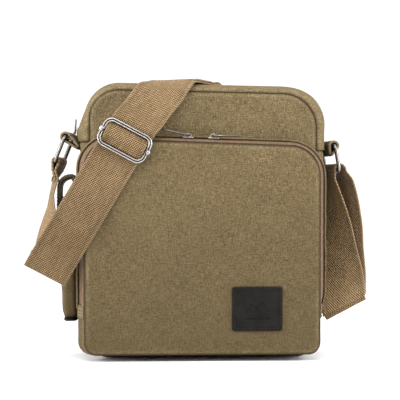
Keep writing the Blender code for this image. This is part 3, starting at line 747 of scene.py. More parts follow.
def side_gusset(name, node, path, end):
    """A side's gusset; its hem lies at a distance of end along the path."""
    def drop(y, distance):
        return 0.9 * MM * (1 - smooth(abs(end - distance) / (2 * MM)))

    # Painted shade under the hem beside the zip's end, on top of the seam's painted shade
    def tone(y, distance):
        shade, wear = gusset_tone(y, distance)
        return max(shade, 0.85 * bell(end - distance, 1.2 * MM)), wear
    strip(name, path, stops(-SEAM_Y, SEAM_Y, 3 * MM), shell_surface(0.5 * MM, 1.3 * MM, drop), "canvas",
          CANVAS, node, tone)


def build_shell():
    settling = (0.35, 0.004, 4 * MM)
    panel("front_panel_cloth", SHELL, -HALF_DEPTH, -1, 1.6 * MM, 2.8 * MM, 3.2 * MM, 1, 5 * MM, settling,
          "front_panel")
    panel("back_panel_cloth", SHELL, HALF_DEPTH, 1, 1.2 * MM, 2.8 * MM, 3.2 * MM, 7, 5 * MM, settling,
          "back_panel")
    flat = HALF_WIDTH - BASE_RADIUS
    strip("base_cloth", [Vector((flat, BASE_SAG)), Vector((-flat, BASE_SAG))], stops(-SEAM_Y, SEAM_Y, 3 * MM),
          shell_surface(), "canvas", CANVAS, "base_gusset", gusset_tone)
    left = rounded([(-flat, BASE_SAG, 0), (-HALF_WIDTH, BASE_SAG, BASE_RADIUS),
                    (-HALF_WIDTH, ZIP_END_LEFT, 0)])
    right = rounded([(HALF_WIDTH, ZIP_END_RIGHT, 0), (HALF_WIDTH, BASE_SAG, BASE_RADIUS),
                     (flat, BASE_SAG, 0)])
    side_gusset("left_gusset_cloth", "side_gusset_left", left, walk(left)[-1])
    side_gusset("right_gusset_cloth", "side_gusset_right", right, 0.0)


def teeth(name, path, surface, middle_y, node):
    """A zip coil: one small rounded bar for each turn of the coil."""
    path = resample(path, 1.5 * MM)
    half, girth, sides = 2.3 * MM, 0.5 * MM, 6
    points, faces = [], []
    for point, along, normal in zip(path, directions(path), outward_normals(path)):
        centre = surface(point, normal, middle_y, 0.0)
        faces += tube_faces(sides, 4, len(points))
        for share, size in ((-1, 0.35), (-0.82, 1), (0.82, 1), (1, 0.35)):
            middle = centre + Vector((0, share * half, 0))
            points += [middle + (upright(along) * c + upright(normal) * s) * girth * size
                       for c, s in circle(sides)]
    place_on(add_piece(name, points, faces, "zip_coil", [(p.y, p.x + p.z) for p in points]), "bag", node)


def build_top(stitches):
    path = rounded([(-HALF_WIDTH, ZIP_END_LEFT, 0), (-HALF_WIDTH, TOP_LEFT, TOP_RADII[0]),
                    (HALF_WIDTH, TOP_RIGHT, TOP_RADII[1]), (HALF_WIDTH, ZIP_END_RIGHT, 0)])
    even = resample(path, 3 * MM)
    edge = TAPE_EDGE - 0.6 * MM
    for side, where in ((-1, "front"), (1, "rear")):
        low, high = sorted((side * SEAM_Y, side * edge))
        strip("top_gusset_cloth_" + where, path, stops(low, high, 2.6 * MM),
              shell_surface(0.2 * MM, 0, hem(side * edge)), "canvas", TURNED_CANVAS, "top_gusset_" + where,
              gusset_tone)
        low, high = sorted((side * (TAPE_EDGE + 2 * MM), side * SLOT))
        strip("main_tape_" + where, path, stops(low, high, 1.6 * MM),
              shell_surface(-1.3 * MM, 0, slot_pinch(side * SLOT)), "zip_tape", TAPE,
              "main_zip_tape_" + where, tape_tone(side * SLOT, side * edge))
        stitches.follow(list(zip(even, outward_normals(even))), shell_surface(0.35 * MM),
                        side * (edge + 2.2 * MM))
    teeth("main_coil_teeth", path, shell_surface(-3.0 * MM), 0.0, "main_zip_coil")


def build_lining():
    """The lining, seen only if the bag is opened: a loose inner bag of thinner cloth."""
    low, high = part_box("main_lining")
    steps, levels = 96, 24
    rows = []
    for level in range(levels + 1):
        z = low.z + (high.z - low.z) * level / levels
        shrink = 9 * MM * (1 - smooth((z - low.z) / (16 * MM)))
        row = []
        for k, (c, s) in enumerate(circle(steps, 1)):
            x = (high.x - shrink) * bow(c, 0.22)
            y = (high.y - shrink) * bow(s, 0.35)
            fold = abs(1.2 * MM * ripple(x, y, z * 0.4, 22 * MM))
            place = Vector((x * (1 - fold / high.x), y - math.copysign(fold, y), z))
            row.append((place, (2 * math.pi * k / steps * 0.06, z), 0.0, 0.0))
        rows.append(row)
    cloth("main_lining_cloth", rows, "lining", ANY_WAY, 0.6 * MM, "main_lining")


# Front pocket ---------------------------------------------------------------------------------

POCKET_SEAM = POCKET_FRONT + 2.9 * MM
POCKET_BACK = -HALF_DEPTH - 0.3 * MM
# (y, height beside the pocket, height over its top)
POCKET_PROFILE = ((POCKET_SEAM, -0.4 * MM, -0.3 * MM), (POCKET_SEAM + 2.2 * MM, 0.7 * MM, 0.9 * MM),
                  (-56.5 * MM, 1.6 * MM, 2.2 * MM), (POCKET_ZIP_Y, 2.8 * MM, 3.1 * MM),
                  (-47.5 * MM, 5.0 * MM, 4.2 * MM), (-43.5 * MM, 6.4 * MM, 4.7 * MM),
                  (-40.5 * MM, 5.8 * MM, 4.3 * MM), (POCKET_BACK, 2.4 * MM, 1.8 * MM))


def pocket_height(x, z, y, up=0.0):
    """How far the pocket's gusset stands out: less on the right, along the top and near its base."""
    for (y0, side0, top0), (y1, side1, top1) in zip(POCKET_PROFILE, POCKET_PROFILE[1:]):
        if y <= y1:
            break
    share = min((y - y0) / (y1 - y0), 1)
    fullness = 1.0 if x < 0 else 1.02 - 0.57 * smooth((66 * MM - z) / (22 * MM))
    return (side0 + (side1 - side0) * share) * fullness * (1 - up) + (top0 + (top1 - top0) * share) * up


def pocket_surface(lift=0.0, wrinkle=0.0, pinch=flush):
    def surface(point, normal, y, distance):
        under = max(-normal.y, 0)
        reach = pocket_height(point.x, point.y, y, max(normal.y, 0) ** 2) * (1 - 0.75 * under * under) + lift
        reach += wrinkle * (1 - under) * ripple(y * 0.8, point.x + point.y, 2.0, 15 * MM)
        return raised(point, normal, y, reach - pinch(y, distance))
    return surface


def build_pocket(stitches):
    face = panel("pocket_face_cloth", POCKET, POCKET_FRONT, -1, 0.5 * MM, 2.4 * MM, 3.0 * MM, 13, 3.4 * MM,
                 (0.12, 0.002, 1.2 * MM), "pocket_face_panel")
    left_end, right_end = (POCKET_LEFT, POCKET_ZIP_END, 0), (POCKET_RIGHT, POCKET_ZIP_END, 0)
    arch = rounded([left_end, POCKET.corners[1], POCKET.corners[2], right_end])
    under = rounded([right_end, POCKET.corners[3], POCKET.corners[0], left_end])
    hem_y = POCKET_ZIP_Y + TAPE_EDGE - 0.8 * MM
    front_line, rear_line = POCKET_ZIP_Y - SLOT, POCKET_ZIP_Y + SLOT
    strip("pocket_base_cloth", under, stops(POCKET_SEAM, POCKET_BACK, 2.6 * MM),
          pocket_surface(0.3 * MM, 0.5 * MM), "canvas", TURNED_CANVAS, "pocket_gusset_base",
          lambda y, distance: seam_tone(y - POCKET_SEAM, distance, y))
    strip("pocket_top_cloth", arch, stops(hem_y, POCKET_BACK, 1.8 * MM),
          pocket_surface(0.5 * MM, 0.4 * MM, hem(hem_y)), "canvas", TURNED_CANVAS, "pocket_gusset_top",
          lambda y, distance: seam_tone(POCKET_BACK - y, distance, y))
    strip("pocket_tape_front", arch, stops(POCKET_SEAM, front_line, 1.6 * MM),
          pocket_surface(-0.1 * MM, 0.1 * MM, slot_pinch(front_line)), "zip_tape", TAPE,
          "pocket_zip_tape_front", tape_tone(front_line, POCKET_SEAM + 0.4 * MM))
    strip("pocket_tape_rear", arch, stops(rear_line, hem_y + 2.4 * MM, 1.6 * MM),
          pocket_surface(-0.4 * MM, 0.1 * MM, slot_pinch(rear_line)), "zip_tape", TAPE,
          "pocket_zip_tape_rear", tape_tone(rear_line, hem_y))
    teeth("pocket_coil_teeth", arch, pocket_surface(-2.2 * MM), POCKET_ZIP_Y, "pocket_zip_coil")
    build_zip_end_tab("left", -1, POCKET_LEFT, stitches)
    build_zip_end_tab("right", 1, POCKET_RIGHT, stitches)
    points = [vertex.co for vertex in face.data.vertices]
    return BVHTree.FromPolygons(points, [list(polygon.vertices) for polygon in face.data.polygons])


def build_zip_end_tab(name, side, edge, stitches):
    """A folded tab of canvas sewn over one end of the pocket's zip."""
    low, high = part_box("zip_end_tab_" + name)
    front, rear = POCKET_SEAM + 1.2 * MM, low.y + 12.5 * MM
    levels, steps, seams = 14, 16, 4
    rows = []
    for level in range(levels + 1):
        z = low.z - 1 * MM + (high.z - low.z + 2 * MM) * level / levels
        end = min(level, levels - level) / levels
        row = []
        for step in range(steps + 1):
            y = front + (rear - front) * step / steps
            lift = 1.3 * MM * smooth(end / 0.12) + 0.2 * MM * ripple(y, z, side, 5 * MM)
            x = edge + side * (pocket_height(edge, z, y) + lift)
            # Painted shade at the tab's folded ends
            row.append((Vector((x, y, z)), (y, z), 0.5 * (1 - smooth(end / 0.1)), 0.75 * smooth(end / 0.2)))
        rows.append(row)
    cloth("zip_end_tab_cloth_" + name, rows, "canvas", Vector((side, 0, 0)), 1.2 * MM, "zip_end_tab_" + name)
    for seam in range(seams):
        z = low.z + 1.6 * MM + seam * 3.0 * MM
        ys = [front + (rear - front) * k / 8 for k in range(9)]
        line = [Vector((edge + side * (pocket_height(edge, z, y) + 1.45 * MM), y, z)) for y in ys]
        stitches.run(line, Vector((side, -0.3, 0)).normalized(), 2.2 * MM)


def segment_distance(spot, start, end):
    across = end - start
    share = max(0.0, min(1.0, (spot - start).dot(across) / across.length_squared))
    return (spot - start - across * share).length


# The stamped motif, two small peaks over a bar: strokes in millimetres from the patch's middle
MOTIF = ((-11, -3.5, -5, 4.5), (-5, 4.5, 0.5, -2.5), (-1.5, 0, 4, 6), (4, 6, 11, -3.5), (-12, -9.5, 12, -9.5))


def build_patch(face, stitches):
    """A leather patch with a stamped plain motif that lies on the pocket's face."""
    low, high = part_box("leather_patch")

    def front(x, z):
        spot = face.ray_cast(Vector((x, -0.2, z)), Vector((0, 1, 0)))[0]
        return min(spot.y - 1.45 * MM, low.y)
    patch = Outline(low.x, high.x, low.z, high.z, high.z, 3 * MM, (3 * MM, 3 * MM))
    centre = Vector(((low.x + high.x) / 2, (low.z + high.z) / 2))
    strokes = [(centre + Vector((ax, az)) * MM, centre + Vector((bx, bz)) * MM) for ax, az, bx, bz in MOTIF]
    rows = []
    for z in stops(patch.base, patch.top, 0.75 * MM):
        row = []
        for x in stops(patch.left, patch.right, 0.75 * MM):
            px, pz, depth = patch.place(x, z)
            away = min(segment_distance(Vector((px, pz)), *stroke) for stroke in strokes)
            stamp = 1 - smooth((away - 0.35 * MM) / (0.6 * MM))
            groove = bell(depth - 2.4 * MM, 0.7 * MM)
            y = front(px, pz) + 0.9 * MM * edge_drop(max(0.0, 1 - depth / (1.3 * MM))) + 0.4 * MM * stamp
            y += 0.3 * MM * groove - 0.2 * MM * ripple(px, 0, pz, 14 * MM)
            shade, wear = 0.75 * stamp + 0.35 * groove, 0.9 * bell(depth, 0.9 * MM)
            row.append((Vector((px, y, pz)), (px, pz), shade, wear))
        rows.append(row)
    cloth("leather_patch_face", rows, "leather", Vector((0, -1, 0)), 1.3 * MM, "leather_patch")
    inset, turn = 2.4 * MM, 2 * MM
    left, right, base, top = low.x + inset, high.x - inset, low.z + inset, high.z - inset
    border = rounded([(left, base, turn), (left, top, turn), (right, top, turn), (right, base, turn)], 4)
    line = [Vector((p.x, front(p.x, p.y) + 0.15 * MM, p.y)) for p in resample(border + border[:1], 3 * MM)]
    stitches.run(line, Vector((0, -1, 0)), 3.3 * MM, 0.7, 0.42 * MM)


# Side pouch -----------------------------------------------------------------------------------

def build_pouch(stitches, dark_stitches):
    low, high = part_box("side_pocket")
    middle = (low + high) / 2
    half_x, half_y = (high.x - low.x) / 2, (high.y - low.y) / 2
    levels = stops(low.z, high.z, 4 * MM)
    around = 88
    loop = circle(around, 1)
    rows = []
    for z in levels:
        share = (z - low.z) / (high.z - low.z)
        tuck = 1 - 0.16 * (1 - smooth((z - low.z) / (7 * MM)))
        belly = 2.6 * MM * math.sin(math.pi * min(share, 1) ** 0.8)
        lip = 0.5 * MM * smooth((share - 0.9) / 0.03)
        # Painted shade under the hem's lip and at the base, where the pouch tucks into its foot
        shade = min(0.7 * bell(share - 0.9, 0.008) + 0.6 * bell(z - low.z, 2 * MM), 1)
        wear = 0.6 * bell(share - 1, 0.02)
        row = []
        for k, (c, s) in enumerate(loop):
            y = half_y * tuck * bow(s, 0.45)
            out = max(0.0, -c)
            x = half_x * tuck * bow(c, 0.55) - out * belly * (1 - (y / half_y) ** 2 * 0.7)
            x += lip * c - out * 0.9 * MM * ripple(y, z * 1.3, 4.0, 17 * MM)
            wave = 1.0 * MM * share * ripple(y, 0, 9.0, 20 * MM)
            row.append((Vector((middle.x + x, middle.y + y, z + wave)),
                        (2 * math.pi * k / around * 0.02, z), shade, wear))
        rows.append(row)
    piece = sheet("side_pouch_cloth", rows, "canvas")
    fix_normals(piece)
    thicken(piece, 1.3 * MM)
    place_on(piece, "bag", "side_pocket")
    hem_z = low.z + 0.9 * (high.z - low.z) + 2 * MM
    hem_row = rows[min(range(len(levels)), key=lambda index: abs(levels[index] - hem_z))]
    stitches.run([cell[0] for cell, (c, _) in zip(hem_row, loop) if -c > 0.1], Vector((-1, 0, 0)))
    build_pouch_foot()

    path = rounded([(-140.6 * MM, 140 * MM, 0), (-139.8 * MM, 177.5 * MM, 12.5 * MM),
                    (-124.5 * MM, 176 * MM, 3 * MM), (-120.9 * MM, 168 * MM, 0)])
    half = half_y - 9 * MM

    def flap_surface(point, normal, y, distance):
        reach = 0.8 * MM * (1 - (abs(y) / half) ** 4) - 0.7 * MM * (1 - smooth((half - abs(y)) / (1.6 * MM)))
        return raised(point, normal, y, reach + 0.5 * MM * ripple(y, distance, 3.0, 18 * MM))

    def flap_tone(y, distance):
        return 0.0, 0.45 + 0.45 * bell(min(half - abs(y), distance), 1.0 * MM)
    strip("side_pouch_flap", path, stops(-half, half, 2.6 * MM), flap_surface, "waxed_cloth", 3.6 * MM,
          "side_pocket_flap", flap_tone, 1.8 * MM)
    even = resample(path, 2 * MM)
    pairs = list(zip(even, outward_normals(even)))[1:-3]
    for side in (-1, 1):
        dark_stitches.follow(pairs, flap_surface, side * (half - 6 * MM), 0.3 * MM, 3.3 * MM)


def build_pouch_foot():
    """A soft-edged pad: rounded rings that close over its top and bottom."""
    low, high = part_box("side_pocket_base")
    middle, half = (low + high) / 2, (high - low) / 2
    around, levels = 64, 12
    points, wears = [], []
    for level in range(levels + 1):
        tilt = math.pi * (level / levels - 0.5)
        girth = math.cos(tilt) ** 0.3 if 0 < level < levels else 0.02
        for c, s in circle(around):
            points.append(middle + Vector((half.x * girth * bow(c, 0.5), half.y * girth * bow(s, 0.4),
                                           half.z * bow(math.sin(tilt), 0.8))))
            wears.append(0.5 * abs(math.cos(tilt)) ** 4)
    piece = add_piece("side_pouch_foot", points, tube_faces(around, levels + 1), "leather",
                      [(p.x, p.y) for p in points], None, wears)
    place_on(piece, "bag", "side_pocket_base")


# Wire and other metal -------------------------------------------------------------------------

def round_section(radius, sides, shade):
    return [(radius * c, radius * s, shade) for c, s in circle(sides)]


def wire(name, outline, section, place, body, node):
    """A closed wire: its section is swept round an outline in the XY plane of place."""
    count = len(outline)
    points, shades = [], []
    for index, point in enumerate(outline):
        along = (outline[(index + 1) % count] - outline[index - 1]).normalized()
        for reach, rise, shade in section:
            points.append(place @ Vector((point.x + along.y * reach, point.y - along.x * reach, rise)))
            shades.append(shade)
    piece = add_piece(name, points, tube_faces(len(section), count, closed=True), "nickel", None, shades)
    fix_normals(piece)
    place_on(piece, body, node)


def turned_metal(name, centre, axis, profile, body, replaced, steps=28):
    """A round part: a profile of (radius, height, shade), in millimetres, turned about an axis."""
    turn = axis.to_track_quat("Z", "Y").to_matrix()
    points = [centre + turn @ (Vector((radius * c, radius * s, height)) * MM)
              for radius, height, _ in profile for c, s in circle(steps)]
    shades = [shade for _, _, shade in profile for _ in range(steps)]
    piece = add_piece(name, points, tube_faces(steps, len(profile)), "nickel", None, shades)
    return place_on(piece, body, *replaced)


def ring_place(pivot, tilt, yaw):
    """The ring's own frame: X along its long bars, Y from the top bar to the lower one."""
    turn = Matrix.Rotation(yaw, 3, "Z")
    along = turn @ Vector((0, 1, 0))
    down = turn @ Vector((1, 0, 0)) * math.sin(tilt) - Vector((0, 0, math.cos(tilt)))
    return axes_at(pivot, along, down, along.cross(down))


def joint_origin(name):
    return next(Vector(joint["pos_m"]) for joint in frame["joints"] if joint["name"] == name)


LEFT_RING = ring_place(Vector((-130, 0, 212.5)) * MM, -math.radians(22), -math.radians(7))
RIGHT_RING = ring_place(Vector((125.5, 0, 204.5)) * MM, math.radians(10), math.radians(8))
RING_HALF = 26 * MM - WIRE
RING_DROP = 25 * MM
LEFT_BAR = LEFT_RING @ Vector((0, RING_DROP, 0))
RIGHT_BAR = RIGHT_RING @ Vector((0, RING_DROP, 0))


def build_rings():
    turn = 4 * MM
    outline = rounded([(-RING_HALF, 0, turn), (RING_HALF, 0, turn), (RING_HALF, RING_DROP, turn),
                       (-RING_HALF, RING_DROP, turn)], 10)
    # Painted light: a bright stripe round the wire's outside as a painted highlight, the rest painted shade
    # and dark reflection
    section = [(r, h, 0.5 if r > 0.9 * WIRE else 0.86) for r, h, _ in round_section(WIRE, 16, 0)]
    wire("ring_left_wire", outline, section, LEFT_RING, "left_ring", "ring_left")
    wire("ring_right_wire", outline, section, RIGHT_RING, "right_ring", "ring_right")


def build_ring_tab(name, place, tongue, stitches):
    """A strip of canvas folded round the ring's top bar, its two ends sewn into the gusset."""
    away = math.atan2(tongue.y, tongue.x)
    radius, half, spread = 4.3 * MM, 20 * MM, math.radians(52)
    half_gap = Vector((math.sin(away), -math.cos(away))) * 1.0 * MM
    angles = [away + spread + (2 * math.pi - 2 * spread) * step / 28 for step in range(29)]
    arc = [Vector((math.cos(angle), math.sin(angle))) * radius for angle in angles]
    profile = resample([tongue - half_gap] + arc + [tongue + half_gap], 0.9 * MM)
    along = place.to_3x3().col[0]
    out = Vector((along.y, -along.x, 0)).normalized()

    def spot(y, point, swell=1.0):
        return place.translation + along * y + (out * point.x + Vector((0, 0, point.y))) * swell
    rows = []
    for y in stops(-half, half, 2.4 * MM):
        row = []
        for index, (point, distance) in enumerate(zip(profile, walk(profile))):
            swell = 1 + 0.05 * ripple(y, distance, 1.0, 7 * MM)
            # Painted shade at both ends of the strip, where they tuck into the gusset
            shade = 0.55 * bell(min(index, len(profile) - 1 - index), 2.5)
            row.append((spot(y, point, swell), (y, distance), shade, 0.8 * bell(half - abs(y), 1.2 * MM)))
        rows.append(row)
    piece = sheet(name + "_cloth", rows, "canvas")
    thicken(piece, 2.1 * MM, 0, False)
    place_on(piece, "bag", name)
    lift = Vector((-math.sin(away), math.cos(away)))
    if lift.y < 0:
        lift.negate()
    seam = tongue * 0.72 + lift * 2.3 * MM
    stitches.run([spot(y, seam) for y in (-half + 2 * MM, half - 2 * MM)],
                 (out * lift.x + Vector((0, 0, lift.y))).normalized())


# Webbing --------------------------------------------------------------------------------------

def spline_point(before, start, end, after, share):
    """A smooth curve from start to end, its slopes shared with its neighbours."""
    chord = end - start
    leave = (chord.normalized() + (start - before).normalized()).normalized() * chord.length
    arrive = (chord.normalized() + (after - end).normalized()).normalized() * chord.length
    square, cube = share ** 2, share ** 3
    return (start * (2 * cube - 3 * square + 1) + leave * (cube - 2 * square + share)
            + end * (3 * square - 2 * cube) + arrive * (cube - square))


def smooth_stations(stations, steps):
    filled = []
    last = len(stations) - 1
    for index, (start, end) in enumerate(zip(stations, stations[1:])):
        before, after = stations[max(index - 1, 0)][0], stations[min(index + 2, last)][0]
        count = max(2, min(steps, round((end[0] - start[0]).length / (2.5 * MM))))
        for share in (step / count for step in range(count)):
            filled.append((spline_point(before, start[0], end[0], after, share),
                           start[1].lerp(end[1], share).normalized()))
    return filled + stations[-1:]


def ribbon_rows(stations, offset=0.0, steps=40, width=WEB_WIDTH, skew=0.5):
    """(near edge, far edge, lift) at every station of a filled-in route."""
    stations = smooth_stations(stations, steps)
    rows = []
    for (middle, across), along in zip(stations, directions([middle for middle, _ in stations])):
        lift = across.cross(along).normalized()
        middle = middle + lift * offset
        reach = across * (width / 2 / max(across.cross(along).length, skew))
        rows.append((middle - reach, middle + reach, lift))
    return rows


def splay(rows, most):
    """Rows drawn wider towards the right fold, where the slack webbing splays."""
    wide = []
    for near, far, lift in rows:
        middle = (near + far) / 2
        grow = 1 + most * (1 - smooth((middle.z - 0.06) / 0.05)) * smooth(middle.x / 0.05)
        wide.append((middle + (near - middle) * grow, middle + (far - middle) * grow, lift))
    return wide


ACROSS_STOPS = (0, 0.006, 0.018, 0.04, 0.08, 0.16, 0.28, 0.42, 0.58, 0.72, 0.84, 0.92, 0.96, 0.982, 0.994, 1)


def webbing(name, rows, start=0.0, caps=(True, True), thickness=WEB, painted_shade_low=0.0):
    """A strap with rounded selvedges through rows of (near, far, lift), with painted shade lower down."""
    points, uvs, wears, shades = [], [], [], []
    loop = [(share, 1) for share in ACROSS_STOPS] + [(share, -1) for share in ACROSS_STOPS[-2:0:-1]]
    for (near, far, lift), length in zip(rows, walk([(near + far) / 2 for near, far, _ in rows])):
        distance = start + length
        width = (far - near).length
        for share, side in loop:
            edge = min(share, 1 - share)
            half = thickness / 2 * (1 - edge_drop(max(0.0, 1 - edge / 0.02)))
            ridge = 0.10 * MM * bell(edge - 0.035, 0.02) if edge > 0 else 0
            wave = 0.12 * MM * ripple(share * width, distance, 3.0, 14 * MM)
            centre = near.lerp(far, share) + lift * wave
            points.append(centre + lift * (side * (half + ridge)))
            uvs.append((share * width, distance))
            wears.append(0.7 * bell(edge, 0.02))
            # Painted shade: the strap darkens lower down, where less light falls
            low = painted_shade_low * (1 - 0.75 * smooth((centre.z - 0.1) / 0.16))
            shades.append(low + 0.22 * bell(edge - 0.075, 0.018))
    faces = tube_faces(len(loop), len(rows), caps=caps)
    piece = add_piece(name, points, faces, "webbing", uvs, shades, wears)
    fix_normals(piece, False)
    return piece


def station(x, y, z, across):
    return Vector((x, y, z)) * MM, Vector(across).normalized()


def turned(x, y, z, degrees, rise=0.0):
    """A station whose width points near-to-far at an angle in plan."""
    angle = math.radians(degrees)
    return station(x, y, z, (math.cos(angle), math.sin(angle), rise))


FRONT_ACROSS = (0.883, 0, -0.469)
TOP_ACROSS = (0.883, -0.469, 0)
BACK_ACROSS = (0.86, 0, 0.51)
FOLD_ACROSS = (0.886, 0, 0.463)
LEFT_FOLD = Vector((-148.8, -59.6, 83.8)) * MM
RIGHT_FOLD = Vector((147.8, 40.8, 44.2)) * MM
INNER_FOLD = 2.4 * MM       # radii of the straps' turns at the folds
OUTER_FOLD = 4.4 * MM
BUCKLE_PLACE = (-75, -69, 207)


def fold_stations(centre, radius, across):
    """Half a turn down round a fold line, from the back to the front."""
    across = Vector(across).normalized()
    down = Vector((across.z, 0, -across.x))
    if down.z > 0:
        down.negate()
    steps = 10
    turn = []
    for step in range(steps + 1):
        angle = math.pi * step / steps
        turn.append((centre + (Vector((0, math.cos(angle), 0)) + down * math.sin(angle)) * radius, across))
    return turn


def bar_turn(bar, along, side, up, radius, loosen=0.0):
    """Half a turn of webbing over a ring's lower bar."""
    steps = 12
    turn = []
    for step in range(steps + 1):
        angle = math.pi * (1 - step / steps)
        loose = radius + loosen * smooth(step / 9)
        turn.append((bar + side * loose * math.cos(angle) + up * loose * math.sin(angle), along))
    return turn


def build_main_strap():
    """From the left fold up the front, over the top and down the back to the right fold."""
    route = ((-128, -66.7, 118.5, FRONT_ACROSS), (-106, -68.4, 155.4, FRONT_ACROSS),
             (*BUCKLE_PLACE, FRONT_ACROSS), (-68.3, -69.1, 218.1, FRONT_ACROSS),
             (-66.2, -69.2, 221.5, FRONT_ACROSS), (-58.2, -62, 231.5, FRONT_ACROSS),
             (-43, -46.5, 252, FRONT_ACROSS), (-35, -36.5, 260, (0.883, -0.39, -0.24)),
             (-26.5, -20, 267.2, TOP_ACROSS), (-16, 0, 267.8, TOP_ACROSS), (-6, 20, 267.2, TOP_ACROSS),
             (2, 36.5, 261, (0.87, -0.36, 0.36)), (6.5, 43.8, 252, BACK_ACROSS),
             (20.5, 45.3, 229, BACK_ACROSS), (83, 45.3, 137, BACK_ACROSS), (134, 45.2, 63, (0.89, 0, 0.455)))
    route = [station(*row) for row in route]
    left_turn = fold_stations(LEFT_FOLD, INNER_FOLD, FRONT_ACROSS)
    right_turn = fold_stations(RIGHT_FOLD, OUTER_FOLD, FOLD_ACROSS)
    rows = splay(ribbon_rows(left_turn + route + right_turn), 0.06)
    # The main strap is painted darker lower down (painted shade 0.29)
    piece = webbing("strap_main", rows, 0.0, (False, False), WEB, 0.29)
    place_on(piece, "bag", "strap_front_run", "strap_front_upper", "strap_top", "strap_back_run")
    rear_turn = fold_stations(RIGHT_FOLD, INNER_FOLD, FOLD_ACROSS)
    inner = splay(ribbon_rows(route[5:], -LAYER) + ribbon_rows(rear_turn), 0.06)
    piece = webbing("strap_inner", inner, 0.031, (True, False))
    place_on(piece, "bag", "strap_inner_front", "strap_inner_top", "strap_inner_back")


def build_right_strap():
    """Up from the fold in front, over the right ring's lower bar and down to the fold behind."""
    back = -Vector(FOLD_ACROSS)
    front_leg = [fold_stations(RIGHT_FOLD, OUTER_FOLD, back)[-1], turned(143.9, 31, 68, 168, -0.34),
                 turned(137.5, 20, 104, 146, -0.1), turned(132.5, 9, 137, 124), turned(127.2, 1, 164, 106),
                 turned(126.3, 0, 172.5, 98)]
    rear_leg = [turned(140.2, 1, 172, 108), turned(141.7, 3, 162, 114), turned(144, 12, 137, 128),
                turned(144.8, 25, 104, 148, -0.1), turned(146.2, 34, 68, 168, -0.34),
                fold_stations(RIGHT_FOLD, INNER_FOLD, back)[-1]]
    along = RIGHT_RING.to_3x3().col[0]
    side = Vector((along.y, -along.x, 0)).normalized()
    wrap = bar_turn(RIGHT_BAR, along, side, Vector((0, 0, 1)), WIRE + CLEAR + WEB / 2 + 0.2 * MM, 4.4 * MM)
    rows = splay(ribbon_rows(front_leg + wrap + rear_leg, 0.0, 40, LOOP_WIDTH + 0.5 * MM), 0.09)
    piece = webbing("strap_right", rows, 0.45, (False, False))
    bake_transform(piece)
    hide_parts("strap_right_leg_front", "strap_right_leg_rear", "strap_ring_wrap")


def build_left_strap(stitches):
    """The strap's sewn end round the left ring, and the leg from there down to the left fold."""
    along = LEFT_RING.to_3x3().col[0]
    tail_along = Vector((-math.sin(math.radians(9)), math.cos(math.radians(9)), 0))
    tilt = math.radians(12)
    lean = Vector((-math.sin(tilt), 0, -math.cos(tilt)))
    side = along.cross(lean).normalized()
    pinch = side * (LAYER / 2 + 0.5 * MM)
    tail_drop = 20 * MM
    neck, tail = LEFT_BAR + lean * 9 * MM, LEFT_BAR + lean * tail_drop
    turn = bar_turn(LEFT_BAR, along, side, -lean, WIRE + CLEAR + WEB / 2 + 0.2 * MM)
    loop = [(tail - pinch, tail_along), (neck - pinch, along), *turn, (neck + pinch, along),
            (tail + pinch, tail_along)]
    piece = webbing("strap_end_loop_cloth", ribbon_rows(loop, 0, 20, LOOP_WIDTH), 0.0, (True, True), 2.2 * MM)
    place_on(piece, "left_ring", "strap_end_loop")
    outer = side if side.x < 0 else -side
    face = outer * (pinch.length + 1.1 * MM)
    seam = LEFT_BAR + lean * (tail_drop - 1.8 * MM) + face
    stitches.run([seam - tail_along * 18 * MM, seam + tail_along * 18 * MM], outer)

    leg = [(LEFT_BAR + lean * (tail_drop - 3 * MM), tail_along), turned(-147.5, -4, 151, 101, -0.3),
           turned(-149.5, -19, 128, 118, -0.42), turned(-145.3, -42, 110, 138, -0.25),
           station(-144.4, -56, 93, (-0.86, 0.25, 0.4)),
           fold_stations(LEFT_FOLD, INNER_FOLD, -Vector(FRONT_ACROSS))[0]]
    piece = webbing("strap_left", ribbon_rows(leg, skew=0.96), 0.1, (True, False))
    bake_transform(piece)
    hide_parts("strap_left_leg")
    return LEFT_BAR + lean * 15.5 * MM + face, outer


# Buckle ---------------------------------------------------------------------------------------

# (reach, rise, shade) round the frame's grooved wire, and (radius, height, shade) of round parts, in mm
# Low shades paint highlights on the wire's ridges, the knobs' tips and the rivet's dome; high shades paint
# shade and dark reflection in the groove, on the sides and underside and round the bases
GROOVED_WIRE = ((-1.9, -0.7, 1.0), (-1.9, 0.35, 0.9), (-1.6, 1.1, 0.05), (-1.1, 1.5, 0.0), (-0.62, 1.2, 0.1),
                (-0.45, 0.7, 1.0), (0.45, 0.7, 1.0), (0.62, 1.2, 0.1), (1.1, 1.5, 0.0), (1.6, 1.1, 0.05),
                (1.9, 0.35, 0.9), (1.9, -0.7, 1.0), (1.1, -1.6, 1.0), (-1.1, -1.6, 1.0))
KNOB = ((0.4, -2.4, 0.9), (1.8, -2.0, 0.8), (2.6, -1.0, 0.5), (2.8, 0.3, 0.1), (2.4, 1.5, 0.0),
        (1.5, 2.3, 0.05), (0.4, 2.5, 0.1))
RIVET = ((4.0, 0.0, 0.6), (4.0, 0.5, 0.35), (3.6, 1.1, 0.1), (2.6, 1.6, 0.05), (1.2, 1.85, 0.0),
         (0.2, 1.9, 0.0))


